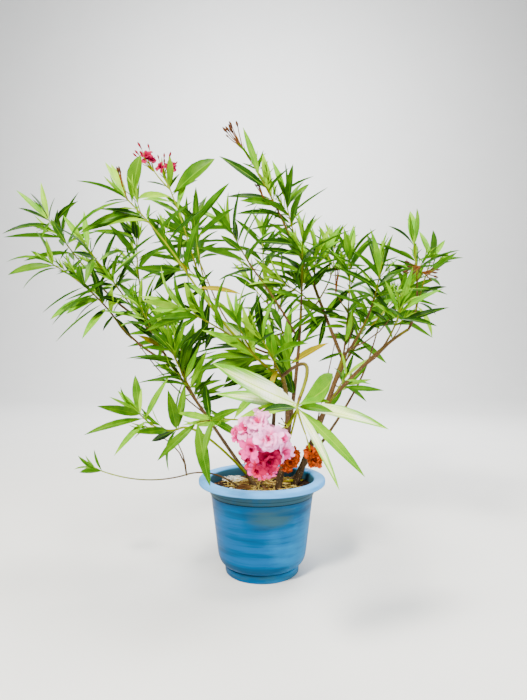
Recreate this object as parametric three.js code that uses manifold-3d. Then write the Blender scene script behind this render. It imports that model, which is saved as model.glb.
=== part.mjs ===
// A potted oleander in millimetres: pot, soil, canes, boughs and leafy sprays.
// The origin is the centre of the pot's flat underside, +X right, +Y back, +Z up.
import * as THREE from 'three';
import { ConvexGeometry } from 'three/addons/geometries/ConvexGeometry.js';
import { mergeVertices } from 'three/addons/utils/BufferGeometryUtils.js';
import Module from 'manifold-3d';

const wasm = await Module();
wasm.setup();

// Clearance between pieces that touch
const CLEAR = 0.35;

// The pot: overall height, rim and foot, and the stations of its thin wall
const POT = {
  height: 250,
  rimRadius: 170,
  skirt: 16,
  flange: 5,
  wall: 4,
  floor: 6,
  footRadius: 98,
  footBand: 20,
  round: 4,
  ease: 2,
  sides: 24,
};
// Outer radius and height of the body, from the foot band up to the flange
const BODY = [[103, 24], [113, 34], [118, 55], [137, 206], [140, 208], [141, 234]];

// The soil stops this far under the rim
const SOIL_DROP = 25;
const SOIL_TOP = POT.height - SOIL_DROP;
// It widens with the pot's body from this height
const SOIL_WIDENS = 50;

// Canes rise from the soil: foot on the soil, a place half way, tip, thickness at foot and tip
const CANES = {
  left_cane: { foot: [-10, -10], by: [-135, 0, 390], to: [-335, 40, 675], thick: [15, 9] },
  front_cane: { foot: [40, -30], by: [65, -60, 395], to: [50, -120, 525], thick: [17, 12] },
  centre_cane: { foot: [45, 40], by: [90, 70, 465], to: [110, 60, 715], thick: [17, 8] },
  right_cane: { foot: [85, 20], by: [165, 40, 400], to: [230, 60, 575], thick: [21, 13] },
  slim_cane: { foot: [72, 44], by: [245, 160, 410], to: [340, 220, 585], thick: [11, 5.6] },
  back_cane: { foot: [15, 75], by: [40, 200, 485], to: [25, 265, 695], thick: [15, 8] },
  runner_cane: { foot: [-45, -25], by: [-125, -40, 264], to: [-205, -50, 263], thick: [7, 5.4] },
};

// Boughs leave a cane or another bough at a share of its length
const BOUGHS = {
  left_low_bough: { on: 'left_cane', at: 0.8, by: [-340, 20, 610], to: [-400, 0, 680], thick: [7, 5] },
  left_high_bough: { on: 'left_cane', at: 1, by: [-410, 70, 725], to: [-485, 100, 795], thick: [7.6, 5] },
  crossing_bough: {
    on: 'front_cane', at: 0.99, by: [-60, -190, 620], to: [-190, -240, 795], thick: [9.6, 6],
  },
  bud_bough: {
    on: 'crossing_bough', at: 0.75, by: [-155, -175, 785], to: [-180, -150, 860], thick: [6, 4.4],
  },
  flower_bough: { on: 'front_cane', at: 1, by: [90, -330, 560], to: [70, -470, 505], thick: [8.6, 6.4] },
  centre_left_bough: { on: 'centre_cane', at: 0.8, by: [50, 25, 705], to: [-10, 10, 790], thick: [6.8, 5] },
  tall_bough: { on: 'right_cane', at: 0.97, by: [180, 110, 700], to: [145, 120, 800], thick: [10.4, 8.4] },
  tall_tip_bough: { on: 'tall_bough', at: 1, by: [95, 115, 895], to: [55, 105, 975], thick: [8, 6] },
  outer_bough: { on: 'right_cane', at: 0.62, by: [305, 10, 575], to: [390, -20, 645], thick: [10.4, 7.6] },
  outer_tip_bough: { on: 'outer_bough', at: 1, by: [405, -25, 685], to: [410, -30, 720], thick: [7.2, 5.6] },
  right_fork_bough: { on: 'right_cane', at: 1, by: [255, 20, 615], to: [280, -20, 675], thick: [8, 5.6] },
  back_left_bough: { on: 'back_cane', at: 0.7, by: [-75, 310, 635], to: [-165, 370, 775], thick: [7.6, 5] },
  back_right_bough: { on: 'back_cane', at: 0.84, by: [140, 340, 695], to: [230, 410, 825], thick: [7.6, 5] },
  low_bough: { on: 'left_cane', at: 0.16, by: [-140, -110, 375], to: [-200, -150, 400], thick: [7, 5.4] },
};

// What a spray is unless its plan says otherwise: leaf length, how far leaves stand off the twig
// in degrees when young and when old, and a blade's width as a share of its length
const SPRAY = {
  at: 1, whorls: 5, leaf: 138, twigs: 0, shut: 26, open: 82, wide: 0.175, droop: 0.12, own: [],
};

// Leafy sprays: the limb they grow on, the tip of their stem, whorls of leaves and side twigs.
// Leaves named one by one have the share of the stem they grow at and the place of their tip
const SPRAYS = {
  flower_spray: {
    on: 'flower_bough', to: [62, -515, 488], whorls: 0, seed: 70,
    own: [
      { at: 0.5, to: [-75, -610, 570], wide: 0.25 },
      { at: 0.7, to: [-75, -560, 518], wide: 0.15 },
      { at: 0.6, to: [125, -600, 560], wide: 0.26 },
      { at: 0.7, to: [228, -480, 448], wide: 0.17 },
      { at: 0.8, to: [178, -520, 372], wide: 0.14 },
      { at: 0.8, to: [124, -590, 368], wide: 0.10 },
      { at: 0.9, to: [0, -585, 492], wide: 0.2 },
    ],
    heads: [
      { hub: [32, -540, 452], to: [2, -562, 428], spread: 34, blooms: 8, size: 44, cone: 105, full: true },
      { hub: [50, -530, 440], to: [52, -542, 405], spread: 16, blooms: 3, size: 24, cone: 80 },
      { hub: [74, -520, 440], to: [88, -520, 410], spread: 15, blooms: 3, size: 22, cone: 80 },
    ],
  },
  left_low_spray: { on: 'left_low_bough', to: [-550, -40, 815], whorls: 7, seed: 3 },
  left_high_spray: { on: 'left_high_bough', to: [-630, 130, 975], whorls: 6, seed: 5 },
  tall_tip_spray: {
    on: 'tall_tip_bough', to: [-30, 90, 1130], whorls: 6, leaf: 150, seed: 21,
    heads: [{ hub: [-60, 90, 1170], to: [-85, 90, 1208], spread: 22, blooms: 3, size: 8, cone: 50 }],
  },
  crossing_spray: {
    on: 'crossing_bough', to: [-295, -275, 920], whorls: 6, shut: 32, open: 90, wide: 0.2, seed: 11,
    own: [{ at: 0.9, to: [-262, -285, 1010], wide: 0.3 }],
  },
  bud_spray: {
    on: 'bud_bough', to: [-225, -140, 985], whorls: 6, seed: 13,
    own: [{ at: 0.85, to: [-112, -165, 1046], wide: 0.26 }],
    heads: [
      { hub: [-262, -145, 1025], to: [-282, -148, 1052], spread: 20, blooms: 4, size: 15, cone: 80 },
      { hub: [-236, -140, 1020], to: [-234, -138, 1046], spread: 18, blooms: 4, size: 16, cone: 80 },
    ],
  },
  outer_spray: { on: 'outer_tip_bough', to: [400, -35, 865], whorls: 4, leaf: 130, seed: 27 },
  outer_right_spray: {
    on: 'outer_tip_bough', at: 0.7, to: [465, 20, 845], whorls: 4, leaf: 125, seed: 28,
  },
  runner_spray: {
    on: 'runner_cane', to: [-435, -60, 285], whorls: 2, leaf: 80, twigs: 1, bare: true, seed: 47,
  },
  low_spray: { on: 'low_bough', to: [-285, -190, 440], whorls: 5, leaf: 140, shut: 35, twigs: 1, seed: 143 },
  front_low_spray: {
    on: 'front_cane', at: 0.35, to: [-115, -265, 435], whorls: 4, shut: 50, open: 110, droop: 0.3, seed: 45,
  },
  right_fork_spray: { on: 'right_fork_bough', to: [310, -60, 820], whorls: 6, leaf: 145, seed: 31 },
  right_top_spray: { on: 'right_cane', at: 0.98, to: [245, 45, 855], whorls: 7, seed: 33 },
  left_inner_spray: { on: 'left_cane', at: 0.97, to: [-445, -80, 850], whorls: 6, leaf: 130, seed: 7 },
  left_upright_spray: { on: 'left_cane', at: 0.95, to: [-360, 90, 945], whorls: 7, leaf: 135, seed: 209 },
  slim_spray: { on: 'crossing_bough', at: 0.7, to: [-170, -60, 945], whorls: 6, leaf: 130, seed: 15 },
  centre_left_spray: { on: 'centre_left_bough', to: [-85, -15, 915], whorls: 6, seed: 17 },
  centre_top_spray: { on: 'centre_cane', to: [110, 10, 890], whorls: 6, leaf: 135, seed: 19 },
  tall_side_spray: { on: 'tall_tip_bough', at: 0.25, to: [65, 130, 1050], whorls: 5, seed: 23 },
  tall_low_spray: { on: 'tall_bough', at: 0.85, to: [155, 60, 860], whorls: 4, seed: 25 },
  tall_left_spray: { on: 'tall_bough', at: 0.45, to: [60, 40, 775], whorls: 4, seed: 26 },
  right_fan_spray: { on: 'right_cane', at: 0.86, to: [450, 165, 790], whorls: 7, leaf: 135, seed: 29 },
  slim_right_spray: { on: 'slim_cane', to: [400, 280, 750], whorls: 5, leaf: 135, seed: 35 },
  left_mid_spray: { on: 'left_cane', at: 0.6, to: [-245, -40, 605], whorls: 5, seed: 49 },
  left_fork_spray: { on: 'left_cane', at: 0.84, to: [-320, -40, 705], whorls: 4, leaf: 130, seed: 50 },
  cross_mid_spray: { on: 'crossing_bough', at: 0.3, to: [-55, -200, 650], whorls: 4, seed: 51 },
  cross_high_spray: {
    on: 'crossing_bough', at: 0.45, to: [-185, -240, 685], whorls: 5, leaf: 135, seed: 53,
  },
  cross_side_spray: {
    on: 'crossing_bough', at: 0.78, to: [-210, -130, 820], whorls: 4, leaf: 130, seed: 54,
    own: [{ at: 0.2, to: [-50, -150, 725], wide: 0.16 }],
  },
  knot_spray: {
    on: 'front_cane', at: 0.93, to: [0, -200, 615], whorls: 4, shut: 35, wide: 0.2, seed: 55,
    own: [{ at: 0.3, to: [20, -180, 490], wide: 0.2 }],
  },
  right_low_spray: { on: 'right_cane', at: 0.5, to: [220, -60, 525], whorls: 3, leaf: 105, seed: 57 },
  centre_mid_spray: {
    on: 'centre_cane', at: 0.5, to: [30, 90, 735], whorls: 7, seed: 59,
    own: [{ at: 0.5, to: [15, 60, 630], wide: 0.14 }],
  },
  outer_side_spray: { on: 'outer_bough', at: 0.6, to: [345, -110, 695], whorls: 4, leaf: 130, seed: 65 },
  back_spray: { on: 'back_cane', to: [0, 310, 970], whorls: 6, twigs: 1, seed: 37 },
  back_left_spray: { on: 'back_left_bough', to: [-270, 430, 1020], whorls: 6, twigs: 1, seed: 39 },
  back_right_spray: { on: 'back_right_bough', to: [255, 470, 970], whorls: 6, twigs: 1, seed: 41 },
  left_back_spray: { on: 'left_cane', at: 0.66, to: [-315, 300, 680], whorls: 6, twigs: 1, seed: 61 },
  right_back_spray: { on: 'right_cane', at: 0.66, to: [350, 330, 685], whorls: 6, twigs: 1, seed: 63 },
};

// Whorls of three leaves: distance of the first from the stem's tip, how the distance grows,
// the distance over which a leaf opens, and the distance at which it is full grown
const WHORL = { leaves: 3, first: 6, pitch: 15, growth: 1.3, opens: 48, grown: 40, young: 0.7, lift: 0.1 };
// Older whorls have lost this share of their leaves, and no leaf grows on the lowest part of a stem
const LOST = { share: 0.28, whole: 2, foot: 0.03 };
// How much one leaf differs from the next: heading and lean in radians, the rest as shares
const VARY = { turn: 0.1, lean: 0.18, length: 0.16, droop: 0.03 };
// A blade: where it is widest, how far its top is raised there, its keel, and how deep it is rooted
const BLADE = { widest: 0.4, crown: 0.016, keel: 0.022, sunk: 1 };
// A spray's stem: thickness at its tip and at most, and at its root as a share of its limb's.
// It starts off along its limb and then bends to its tip
const STEM = { sides: 3, steps: 2, tip: 4.4, thickest: 6, onSide: 0.7, follows: 0.4, bend: 0.2, off: 0.42 };
// Side twigs: share of the stem they leave from, angle off it, length, rise, sag and own whorls
const TWIG = {
  from: 0.1, span: 0.35, lean: 45, leanVary: 8, length: 100, lengthVary: 0.2, thick: 4.4,
  rise: 0.2, sag: 0.06, whorls: 3, leaf: 0.86,
};
// Flower heads: where their stalk leaves the stem, its thickness, and the shapes of blooms and buds
const HEAD = { from: 0.97, stalk: 3, bloomHigh: 0.78, budHigh: 1.5 };
const GOLDEN_TURN = Math.PI * (3 - Math.sqrt(5));
// A cane's foot swells by this share, over this height, and starts this deep before it is cut flat
const FLARE = { share: 0.5, height: 22, buried: 12 };
const CANE_RINGS = { sides: 7, steps: 6 };
const BOUGH_RINGS = { sides: 6, steps: 4 };
// An arch whose bend is under this share of its length counts as straight
const STRAIGHT = 0.01;
// Edges shorter than this are closed up in the finished sprays
const SHORTEST = 0.02;

const COLOURS = {
  pot: { color: 0x3f9fc4, roughness: 0.45 },
  soil: { color: 0x4a3526, roughness: 0.95 },
  cane: { color: 0x6f5a42, roughness: 0.8 },
  bough: { color: 0x8d8a4a, roughness: 0.7 },
  spray: { color: 0x4f8f2f, roughness: 0.45 },
  flower: { color: 0xe8709c, roughness: 0.6 },
};

const UP = new THREE.Vector3(0, 0, 1);
const ASLANT = new THREE.Vector3(0.3, 1, 0.1);
const point = (place) => new THREE.Vector3(...place);
const radians = THREE.MathUtils.degToRad;
const mix = THREE.MathUtils.lerp;

/** Draws even numbers between 0 and 1, the same ones for the same seed. */
class Chance {
  constructor(seed) {
    this.state = (seed * 7919 + 12345) % 2147483647;
    for (let warm = 0; warm < 3; warm += 1) this.next();
  }

  next() {
    this.state = (this.state * 16807) % 2147483647;
    return this.state / 2147483647;
  }

  swing(amount) {
    return (this.next() * 2 - 1) * amount;
  }
}

/** A closed geometry as a solid, its shared vertices merged and its faces outwards. */
function solidOf(geometry) {
  geometry.deleteAttribute('normal');
  geometry.deleteAttribute('uv');
  const merged = mergeVertices(geometry, 1e-5);
  const index = merged.index.array;
  const corners = [];
  for (let i = 0; i < index.length; i += 3) {
    const [a, b, c] = [index[i], index[i + 1], index[i + 2]];
    if (a !== b && b !== c && c !== a) corners.push(a, b, c);
  }
  return new wasm.Manifold(new wasm.Mesh({
    numProp: 3,
    vertProperties: Float32Array.from(merged.attributes.position.array),
    triVerts: Uint32Array.from(corners),
  }));
}

/** A solid as a geometry that a mesh can show. */
function geometryOf(solid) {
  const { vertProperties, triVerts } = solid.getMesh();
  const geometry = new THREE.BufferGeometry();
  geometry.setAttribute('position', new THREE.BufferAttribute(vertProperties, 3));
  geometry.setIndex(new THREE.BufferAttribute(triVerts, 1));
  geometry.computeVertexNormals();
  return geometry;
}

/** The largest body of a solid: a loose scrap left by a cut is dropped. */
function whole(solid) {
  const bodies = solid.decompose();
  bodies.sort((a, b) => b.volume() - a.volume());
  return bodies[0];
}

/** Whether two solids' boxes meet. */
function near(a, b) {
  const [p, q] = [a.boundingBox(), b.boundingBox()];
  return [0, 1, 2].every((axis) => p.min[axis] <= q.max[axis] && q.min[axis] <= p.max[axis]);
}

/** Whether two solids share any room. */
function touches(a, b) {
  return near(a, b) && a.intersect(b).volume() > 0;
}

/** The parabola through two ends and the place half way between them. */
function arch(from, by, to) {
  const lead = by.clone().multiplyScalar(2).addScaledVector(from, -0.5).addScaledVector(to, -0.5);
  return new THREE.QuadraticBezierCurve3(from, lead, to);
}

/** From the root of an arch straight to its tip. */
function chordOf(curve) {
  return curve.v2.clone().sub(curve.v0);
}

/** Two directions square to a course along an arch: the first stays square to the whole arch. */
function squareTo(curve, course) {
  const chord = chordOf(curve);
  const across = curve.v1.clone().sub(curve.v0).cross(chord);
  if (across.length() < STRAIGHT * chord.lengthSq()) across.copy(chord).cross(ASLANT);
  across.normalize();
  return [across, across.clone().cross(course).normalize()];
}

/** A rod laid along a curve, closed at both ends: radius and ring directions go by the share. */
function rod(shape, curve, radius, directions, reach = 1) {
  const places = shape.attributes.position;
  for (let i = 0; i < places.count; i += 1) {
    const share = (places.getY(i) + 0.5) * reach;
    const [across, up] = directions(share);
    const place = curve.getPoint(share)
      .addScaledVector(across, places.getX(i) * radius(share))
      .addScaledVector(up, places.getZ(i) * radius(share));
    places.setXYZ(i, place.x, place.y, place.z);
  }
  return solidOf(shape);
}

/** A cane or bough, its rings square to the curve. */
function limb(curve, radius, { sides, steps }, reach = 1) {
  const shape = new THREE.CylinderGeometry(1, 1, 1, sides, steps);
  const directions = (share) => squareTo(curve, curve.getTangent(Math.min(share, 1)));
  return rod(shape, curve, radius, directions, reach);
}

/** A thin stem with flat sides, its rings alike, rolled so that a side faces each leaf. */
function stem(curve, thick, steps, roll = 0) {
  const shape = new THREE.CylinderGeometry(1, 1, 1, STEM.sides, steps);
  shape.rotateY(-roll);
  const square = squareTo(curve, chordOf(curve));
  return rod(shape, curve, taper(thick), () => square);
}

/** A limb's radius at a share of its length, and the same with some clearance round it. */
function taper(thick, swell = () => 0) {
  return (share) => (mix(thick[0], thick[1], Math.min(share, 1)) / 2) * (1 + swell(share));
}

/** One cane or bough: its curve, its solid and a sleeve a little wider that cuts its neighbours. */
function makeLimb(curve, radius, rings) {
  const length = curve.getLength();
  const wider = (share) => radius(share) + CLEAR;
  return {
    curve,
    radius,
    solid: limb(curve, radius, rings),
    sleeve: limb(curve, wider, rings, 1 + CLEAR / length),
  };
}

/** The wall's outline seen from the side: outside up, over the rim and down the inside. */
function potOutline() {
  const { height, rimRadius, skirt, flange, wall, floor, footRadius, footBand, round, ease } = POT;
  const [neckRadius] = BODY[BODY.length - 1];
  const inside = BODY.map(([radius, z]) => [radius - wall, z]).reverse();
  return [
    [0, 0], [footRadius - ease, 0], [footRadius, ease], [footRadius + ease, footBand],
    ...BODY,
    [neckRadius, height - flange], [rimRadius - wall, height - flange],
    [rimRadius - wall, height - skirt], [rimRadius - ease, height - skirt],
    [rimRadius, height - skirt + ease], [rimRadius, height - round], [rimRadius - round, height],
    [neckRadius + ease, height], [neckRadius - wall + ease, height - flange],
    ...inside,
    [footRadius - wall, footBand], [footRadius - wall - ease, floor], [0, floor],
  ];
}

/** Turns an outline of radius and height pairs about the upright axis. */
function turned(outline) {
  const profile = outline.map(([radius, z]) => new THREE.Vector2(radius, z));
  const shape = new THREE.LatheGeometry(profile, POT.sides);
  shape.rotateX(Math.PI / 2);
  return solidOf(shape);
}

/** The soil fills the pot to its level, clear of the wall. */
function soilOutline() {
  const shrink = POT.wall + CLEAR;
  const stations = BODY.filter(([, z]) => z > SOIL_WIDENS && z < SOIL_TOP);
  const below = stations.map(([radius, z]) => [radius - shrink, z]);
  const [topRadius] = below[below.length - 1];
  const bottom = POT.floor + CLEAR;
  const bottomRadius = POT.footRadius - shrink;
  return [
    [0, bottom], [bottomRadius - POT.ease, bottom], [bottomRadius, POT.footBand],
    ...below,
    [topRadius, SOIL_TOP], [0, SOIL_TOP],
  ];
}

/** The room under the soil's surface, which cuts the canes' feet flat. */
function ground() {
  const size = 4 * POT.rimRadius;
  const shape = new THREE.BoxGeometry(size, size, size);
  shape.translate(0, 0, SOIL_TOP + CLEAR - size / 2);
  return solidOf(shape);
}

/** A cane, its foot swollen and cut flat on the soil. */
function growCane(plan, floor) {
  const foot = point([...plan.foot, SOIL_TOP - FLARE.buried]);
  const curve = arch(foot, point(plan.by), point(plan.to));
  const rise = curve.getLength();
  const above = (share) => Math.max(share * rise - FLARE.buried, 0);
  const swell = (share) => FLARE.share * Math.exp(-above(share) / FLARE.height);
  const made = makeLimb(curve, taper(plan.thick, swell), CANE_RINGS);
  made.solid = made.solid.subtract(floor);
  return made;
}

/** A bough from its place on another limb. */
function growBough(plan, parent) {
  const root = parent.curve.getPoint(plan.at);
  return makeLimb(arch(root, point(plan.by), point(plan.to)), taper(plan.thick), BOUGH_RINGS);
}

/** All canes and boughs, each cut clear of the ones before it. */
function growLimbs() {
  const limbs = {};
  const floor = ground();
  const settle = (name, made) => {
    for (const other of Object.values(limbs)) {
      if (near(made.solid, other.sleeve)) made.solid = made.solid.subtract(other.sleeve);
    }
    made.solid = whole(made.solid);
    limbs[name] = made;
  };
  for (const [name, plan] of Object.entries(CANES)) settle(name, growCane(plan, floor));
  for (const [name, plan] of Object.entries(BOUGHS)) settle(name, growBough(plan, limbs[plan.on]));
  return limbs;
}

/** A leaf's blade as a closed body: root, tip, the two widest points and a keel under them. */
function blade(leaf, clear = 0) {
  const { base, tip, side, top, length, width } = leaf;
  const along = tip.clone().sub(base).normalize();
  const half = width / 2 + clear;
  const middle = base.clone().lerp(tip, BLADE.widest).addScaledVector(top, BLADE.crown * length + clear);
  return solidOf(new ConvexGeometry([
    base.clone().addScaledVector(along, -BLADE.sunk - clear),
    tip.clone().addScaledVector(along, clear),
    middle.clone().addScaledVector(side, half),
    middle.clone().addScaledVector(side, -half),
    middle.clone().addScaledVector(top, -BLADE.keel * length - 2 * clear),
  ]));
}

/** A leaf that leaves a twig at a place in a direction, its top turned to the twig's tip. */
function leafAt(base, heading, towards, length, width, droop) {
  const side = heading.clone().cross(towards).normalize();
  const top = side.clone().cross(heading).normalize();
  const flat = Math.sqrt(Math.max(0, 1 - heading.z ** 2));
  const tip = base.clone().addScaledVector(heading, length).addScaledVector(UP, -droop * length * flat);
  return { base, tip, side, top, length, width };
}

/** Whorls of three leaves up a stem, each turned half a step from the last and closer to the tip. */
function whorls(chance, curve, roll, plan, count, scale) {
  const leaves = [];
  const span = chordOf(curve).length();
  const [across, up] = squareTo(curve, chordOf(curve));
  for (let rank = 0; rank < count; rank += 1) {
    const back = WHORL.first + WHORL.pitch * rank ** WHORL.growth;
    const share = 1 - back / span;
    const age = 1 - Math.exp(-back / WHORL.opens);
    for (let place = 0; place < WHORL.leaves; place += 1) {
      const turn = roll + Math.PI * (rank / 3 + (2 * place) / 3) + chance.swing(VARY.turn);
      const lean = radians(mix(plan.shut, plan.open, age)) + chance.swing(VARY.lean);
      const grown = mix(WHORL.young, 1, Math.min(1, back / WHORL.grown)) * (1 + chance.swing(VARY.length));
      const droop = plan.droop * age + chance.swing(VARY.droop);
      const lost = chance.next() < LOST.share && rank >= LOST.whole;
      if (share > LOST.foot && !lost) {
        const towards = curve.getTangent(share);
        const out = across.clone().multiplyScalar(Math.cos(turn)).addScaledVector(up, Math.sin(turn));
        const heading = towards.clone().multiplyScalar(Math.cos(lean))
          .addScaledVector(out, Math.sin(lean)).addScaledVector(UP, WHORL.lift).normalize();
        const length = plan.leaf * scale * grown;
        leaves.push(leafAt(curve.getPoint(share), heading, towards, length, length * plan.wide, droop));
      }
    }
  }
  return leaves;
}

/** The leaves of a plan that are named one by one. */
function ownLeaves(curve, plan) {
  return plan.own.map(({ at, to, wide }) => {
    const base = curve.getPoint(at);
    const reach = point(to).sub(base);
    const length = reach.length();
    return leafAt(base, reach.normalize(), UP, length, length * wide, 0);
  });
}

/** The curve of a spray's stem, which carries on from its limb and turns to its tip. */
function stemCurve(parent, plan) {
  const { curve } = parent;
  const along = curve.getTangent(Math.min(plan.at, 1));
  const root = curve.getPoint(plan.at).addScaledVector(along, plan.at < 1 ? 0 : STEM.off);
  const tip = point(plan.to);
  const chord = tip.clone().sub(root);
  const lead = plan.at < 1 ? chord.clone().normalize().lerp(along, STEM.follows).normalize() : along;
  const by = root.clone().lerp(tip, 0.5)
    .addScaledVector(lead.multiplyScalar(chord.length()).sub(chord), STEM.bend);
  return arch(root, by, tip);
}

/** A side twig that leaves a stem by chance. */
function sideTwig(chance, parent, index, plan) {
  const share = TWIG.from + (TWIG.span * (index + 0.5 * chance.next())) / plan.twigs;
  const turn = chance.next() * 2 * Math.PI;
  const lean = radians(TWIG.lean + chance.swing(TWIG.leanVary));
  const length = TWIG.length * (1 + chance.swing(TWIG.lengthVary));
  const [across, up] = squareTo(parent, chordOf(parent));
  const out = across.multiplyScalar(Math.cos(turn)).addScaledVector(up, Math.sin(turn));
  const heading = parent.getTangent(share).multiplyScalar(Math.cos(lean))
    .addScaledVector(out, Math.sin(lean)).addScaledVector(UP, TWIG.rise).normalize();
  const root = parent.getPoint(share);
  const tip = root.clone().addScaledVector(heading, length);
  const by = root.clone().lerp(tip, 0.5).addScaledVector(UP, -TWIG.sag * length);
  return arch(root, by, tip);
}

/** A bloom or bud as a squashed or drawn-out ball whose axis points a way. */
function bloomAt(shape, centre, axis, size, height) {
  shape.scale(size / 2, size / 2, height / 2);
  shape.applyQuaternion(new THREE.Quaternion().setFromUnitVectors(UP, axis));
  shape.translate(centre.x, centre.y, centre.z);
  return solidOf(shape);
}

/** A straight stalk between two places. */
function stalk(from, to) {
  return stem(arch(from, from.clone().lerp(to, 0.5), to), [HEAD.stalk, HEAD.stalk], 1);
}

/** Directions spread evenly over a cone about an axis. */
function spread(axis, count, cone) {
  const across = axis.clone().cross(ASLANT).normalize();
  const up = axis.clone().cross(across);
  return Array.from({ length: count }, (_, i) => {
    const tilt = Math.acos(1 - ((i + 0.5) / count) * (1 - Math.cos(radians(cone))));
    const turn = i * GOLDEN_TURN;
    return axis.clone().multiplyScalar(Math.cos(tilt))
      .addScaledVector(across, Math.sin(tilt) * Math.cos(turn))
      .addScaledVector(up, Math.sin(tilt) * Math.sin(turn));
  });
}

/** A head of flowers: full blooms crowd round a heart, and buds stand on stalks of their own. */
function flowerHead(curve, head) {
  const hub = point(head.hub);
  const middle = point(head.to);
  const axis = middle.clone().sub(hub).normalize();
  const parts = [stalk(curve.getPoint(HEAD.from), hub)];
  const ball = () => new THREE.IcosahedronGeometry(1);
  if (head.full) parts.push(bloomAt(ball(), middle, axis, 2 * head.spread, 2 * head.spread));
  for (const out of spread(axis, head.blooms, head.cone)) {
    const centre = middle.clone().addScaledVector(out, head.spread);
    if (head.full) {
      parts.push(bloomAt(ball(), centre, out, head.size, head.size * HEAD.bloomHigh));
    } else {
      const bud = new THREE.OctahedronGeometry(1);
      parts.push(stalk(hub, centre), bloomAt(bud, centre, out, head.size, head.size * HEAD.budHigh));
    }
  }
  return parts;
}

/** A spray's wood and the leaves that it would bear. */
function planSpray(name, plan, limbs) {
  const chance = new Chance(plan.seed);
  const parent = limbs[plan.on];
  const curve = stemCurve(parent, plan);
  const share = plan.at < 1 ? STEM.onSide : 1;
  const thick = Math.min(2 * parent.radius(plan.at) * share, STEM.thickest);
  const roll = chance.next() * 2 * Math.PI;
  const wood = [stem(curve, [thick, STEM.tip], STEM.steps, roll)];
  const leaves = [...ownLeaves(curve, plan), ...whorls(chance, curve, roll, plan, plan.whorls, 1)];
  for (let i = 0; i < plan.twigs; i += 1) {
    const twig = sideTwig(chance, curve, i, plan);
    const twigRoll = chance.next() * 2 * Math.PI;
    const stick = stem(twig, [TWIG.thick, STEM.tip], 1, twigRoll);
    const leafy = whorls(chance, twig, twigRoll, plan, plan.bare ? 0 : TWIG.whorls, TWIG.leaf);
    if (Object.values(limbs).some((other) => touches(stick, other.sleeve))) continue;
    wood.push(stick);
    leaves.push(...leafy);
  }
  for (const head of plan.heads ?? []) wood.push(...flowerHead(curve, head));
  return { name, wood, leaves };
}

/** Cuts a spray's wood clear of the limbs and joins it to one body. */
function joinWood(spray, limbs) {
  let wood = spray.wood.reduce((sum, part) => sum.add(part));
  for (const other of Object.values(limbs)) {
    if (near(wood, other.sleeve)) wood = wood.subtract(other.sleeve);
  }
  return whole(wood);
}

/** All sprays: their wood first, then each leaf that has room, fused to its own wood. */
function growSprays(limbs, pot) {
  const sprays = Object.entries(SPRAYS).map(([name, plan]) => planSpray(name, { ...SPRAY, ...plan }, limbs));
  for (const spray of sprays) {
    spray.body = joinWood(spray, limbs);
    for (const other of sprays) {
      if (other === spray) break;
      if (near(spray.body, other.body)) spray.body = whole(spray.body.subtract(other.body));
    }
  }
  const fixed = [pot, ...Object.values(limbs).map((made) => made.solid)];
  const placed = [];
  for (const spray of sprays) {
    const others = sprays.filter((other) => other !== spray).map((other) => other.body);
    const kept = [];
    for (const leaf of spray.leaves) {
      const wide = blade(leaf, CLEAR);
      const blocked = [...fixed, ...others, ...placed].some((solid) => touches(wide, solid));
      if (!blocked) kept.push(blade(leaf));
    }
    placed.push(...kept);
    spray.kept = kept;
  }
  for (const spray of sprays) {
    const fused = spray.kept.reduce((sum, part) => sum.add(part), spray.body);
    spray.solid = whole(fused).simplify(SHORTEST);
  }
  return sprays;
}

/** A named mesh of a solid in its own colour. */
function meshOf(name, solid, look) {
  const mesh = new THREE.Mesh(geometryOf(solid), new THREE.MeshStandardMaterial({ metalness: 0, ...look }));
  mesh.name = name;
  return mesh;
}

const plant = new THREE.Group();
const pot = turned(potOutline());
const soil = turned(soilOutline());
const limbs = growLimbs();
const sprays = growSprays(limbs, pot);
plant.add(meshOf('pot', pot, COLOURS.pot), meshOf('soil', soil, COLOURS.soil));
for (const [name, made] of Object.entries(limbs)) {
  plant.add(meshOf(name, made.solid, name in CANES ? COLOURS.cane : COLOURS.bough));
}
for (const { name, solid } of sprays) {
  plant.add(meshOf(name, solid, name === 'flower_spray' ? COLOURS.flower : COLOURS.spray));
}

export default plant;
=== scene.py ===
"""The looks of a potted oleander with pink double blossom. Plans are in millimetres, meshes in metres."""

import logging
import math
from collections.abc import Iterable, Sequence
from dataclasses import dataclass, field
from enum import Enum
from functools import cached_property
from typing import Any

import bmesh
import bpy
import numpy as np
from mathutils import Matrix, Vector, noise


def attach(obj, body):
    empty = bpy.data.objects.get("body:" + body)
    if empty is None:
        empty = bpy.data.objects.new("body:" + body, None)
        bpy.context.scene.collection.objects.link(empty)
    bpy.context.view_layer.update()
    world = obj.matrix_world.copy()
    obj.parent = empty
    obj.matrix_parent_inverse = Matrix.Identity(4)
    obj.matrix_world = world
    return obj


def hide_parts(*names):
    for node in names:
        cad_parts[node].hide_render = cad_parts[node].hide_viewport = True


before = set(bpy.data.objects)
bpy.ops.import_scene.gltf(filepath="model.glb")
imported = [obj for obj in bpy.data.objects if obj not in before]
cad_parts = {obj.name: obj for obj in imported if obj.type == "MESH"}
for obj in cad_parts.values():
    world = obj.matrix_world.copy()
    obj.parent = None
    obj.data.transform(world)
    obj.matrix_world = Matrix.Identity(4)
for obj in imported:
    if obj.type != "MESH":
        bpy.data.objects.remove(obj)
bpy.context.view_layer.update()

log = logging.getLogger("oleander")

MM = 0.001
Pair = tuple[float, float]
Place = tuple[float, float, float]
Colour = tuple[int, int, int]
UP = np.array((0.0, 0.0, 1.0))
ASLANT = np.array((0.3, 1.0, 0.1))
GOLDEN_TURN = math.pi * (3 - math.sqrt(5))
# The camera's place, in millimetres, and the photograph's middle and the camera's focal length, in pixels
VIEWER = np.array((4.0, -1420.0, 590.0))
MIDDLE = (263.5, 350.0)
FOCUS = 526.0
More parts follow.
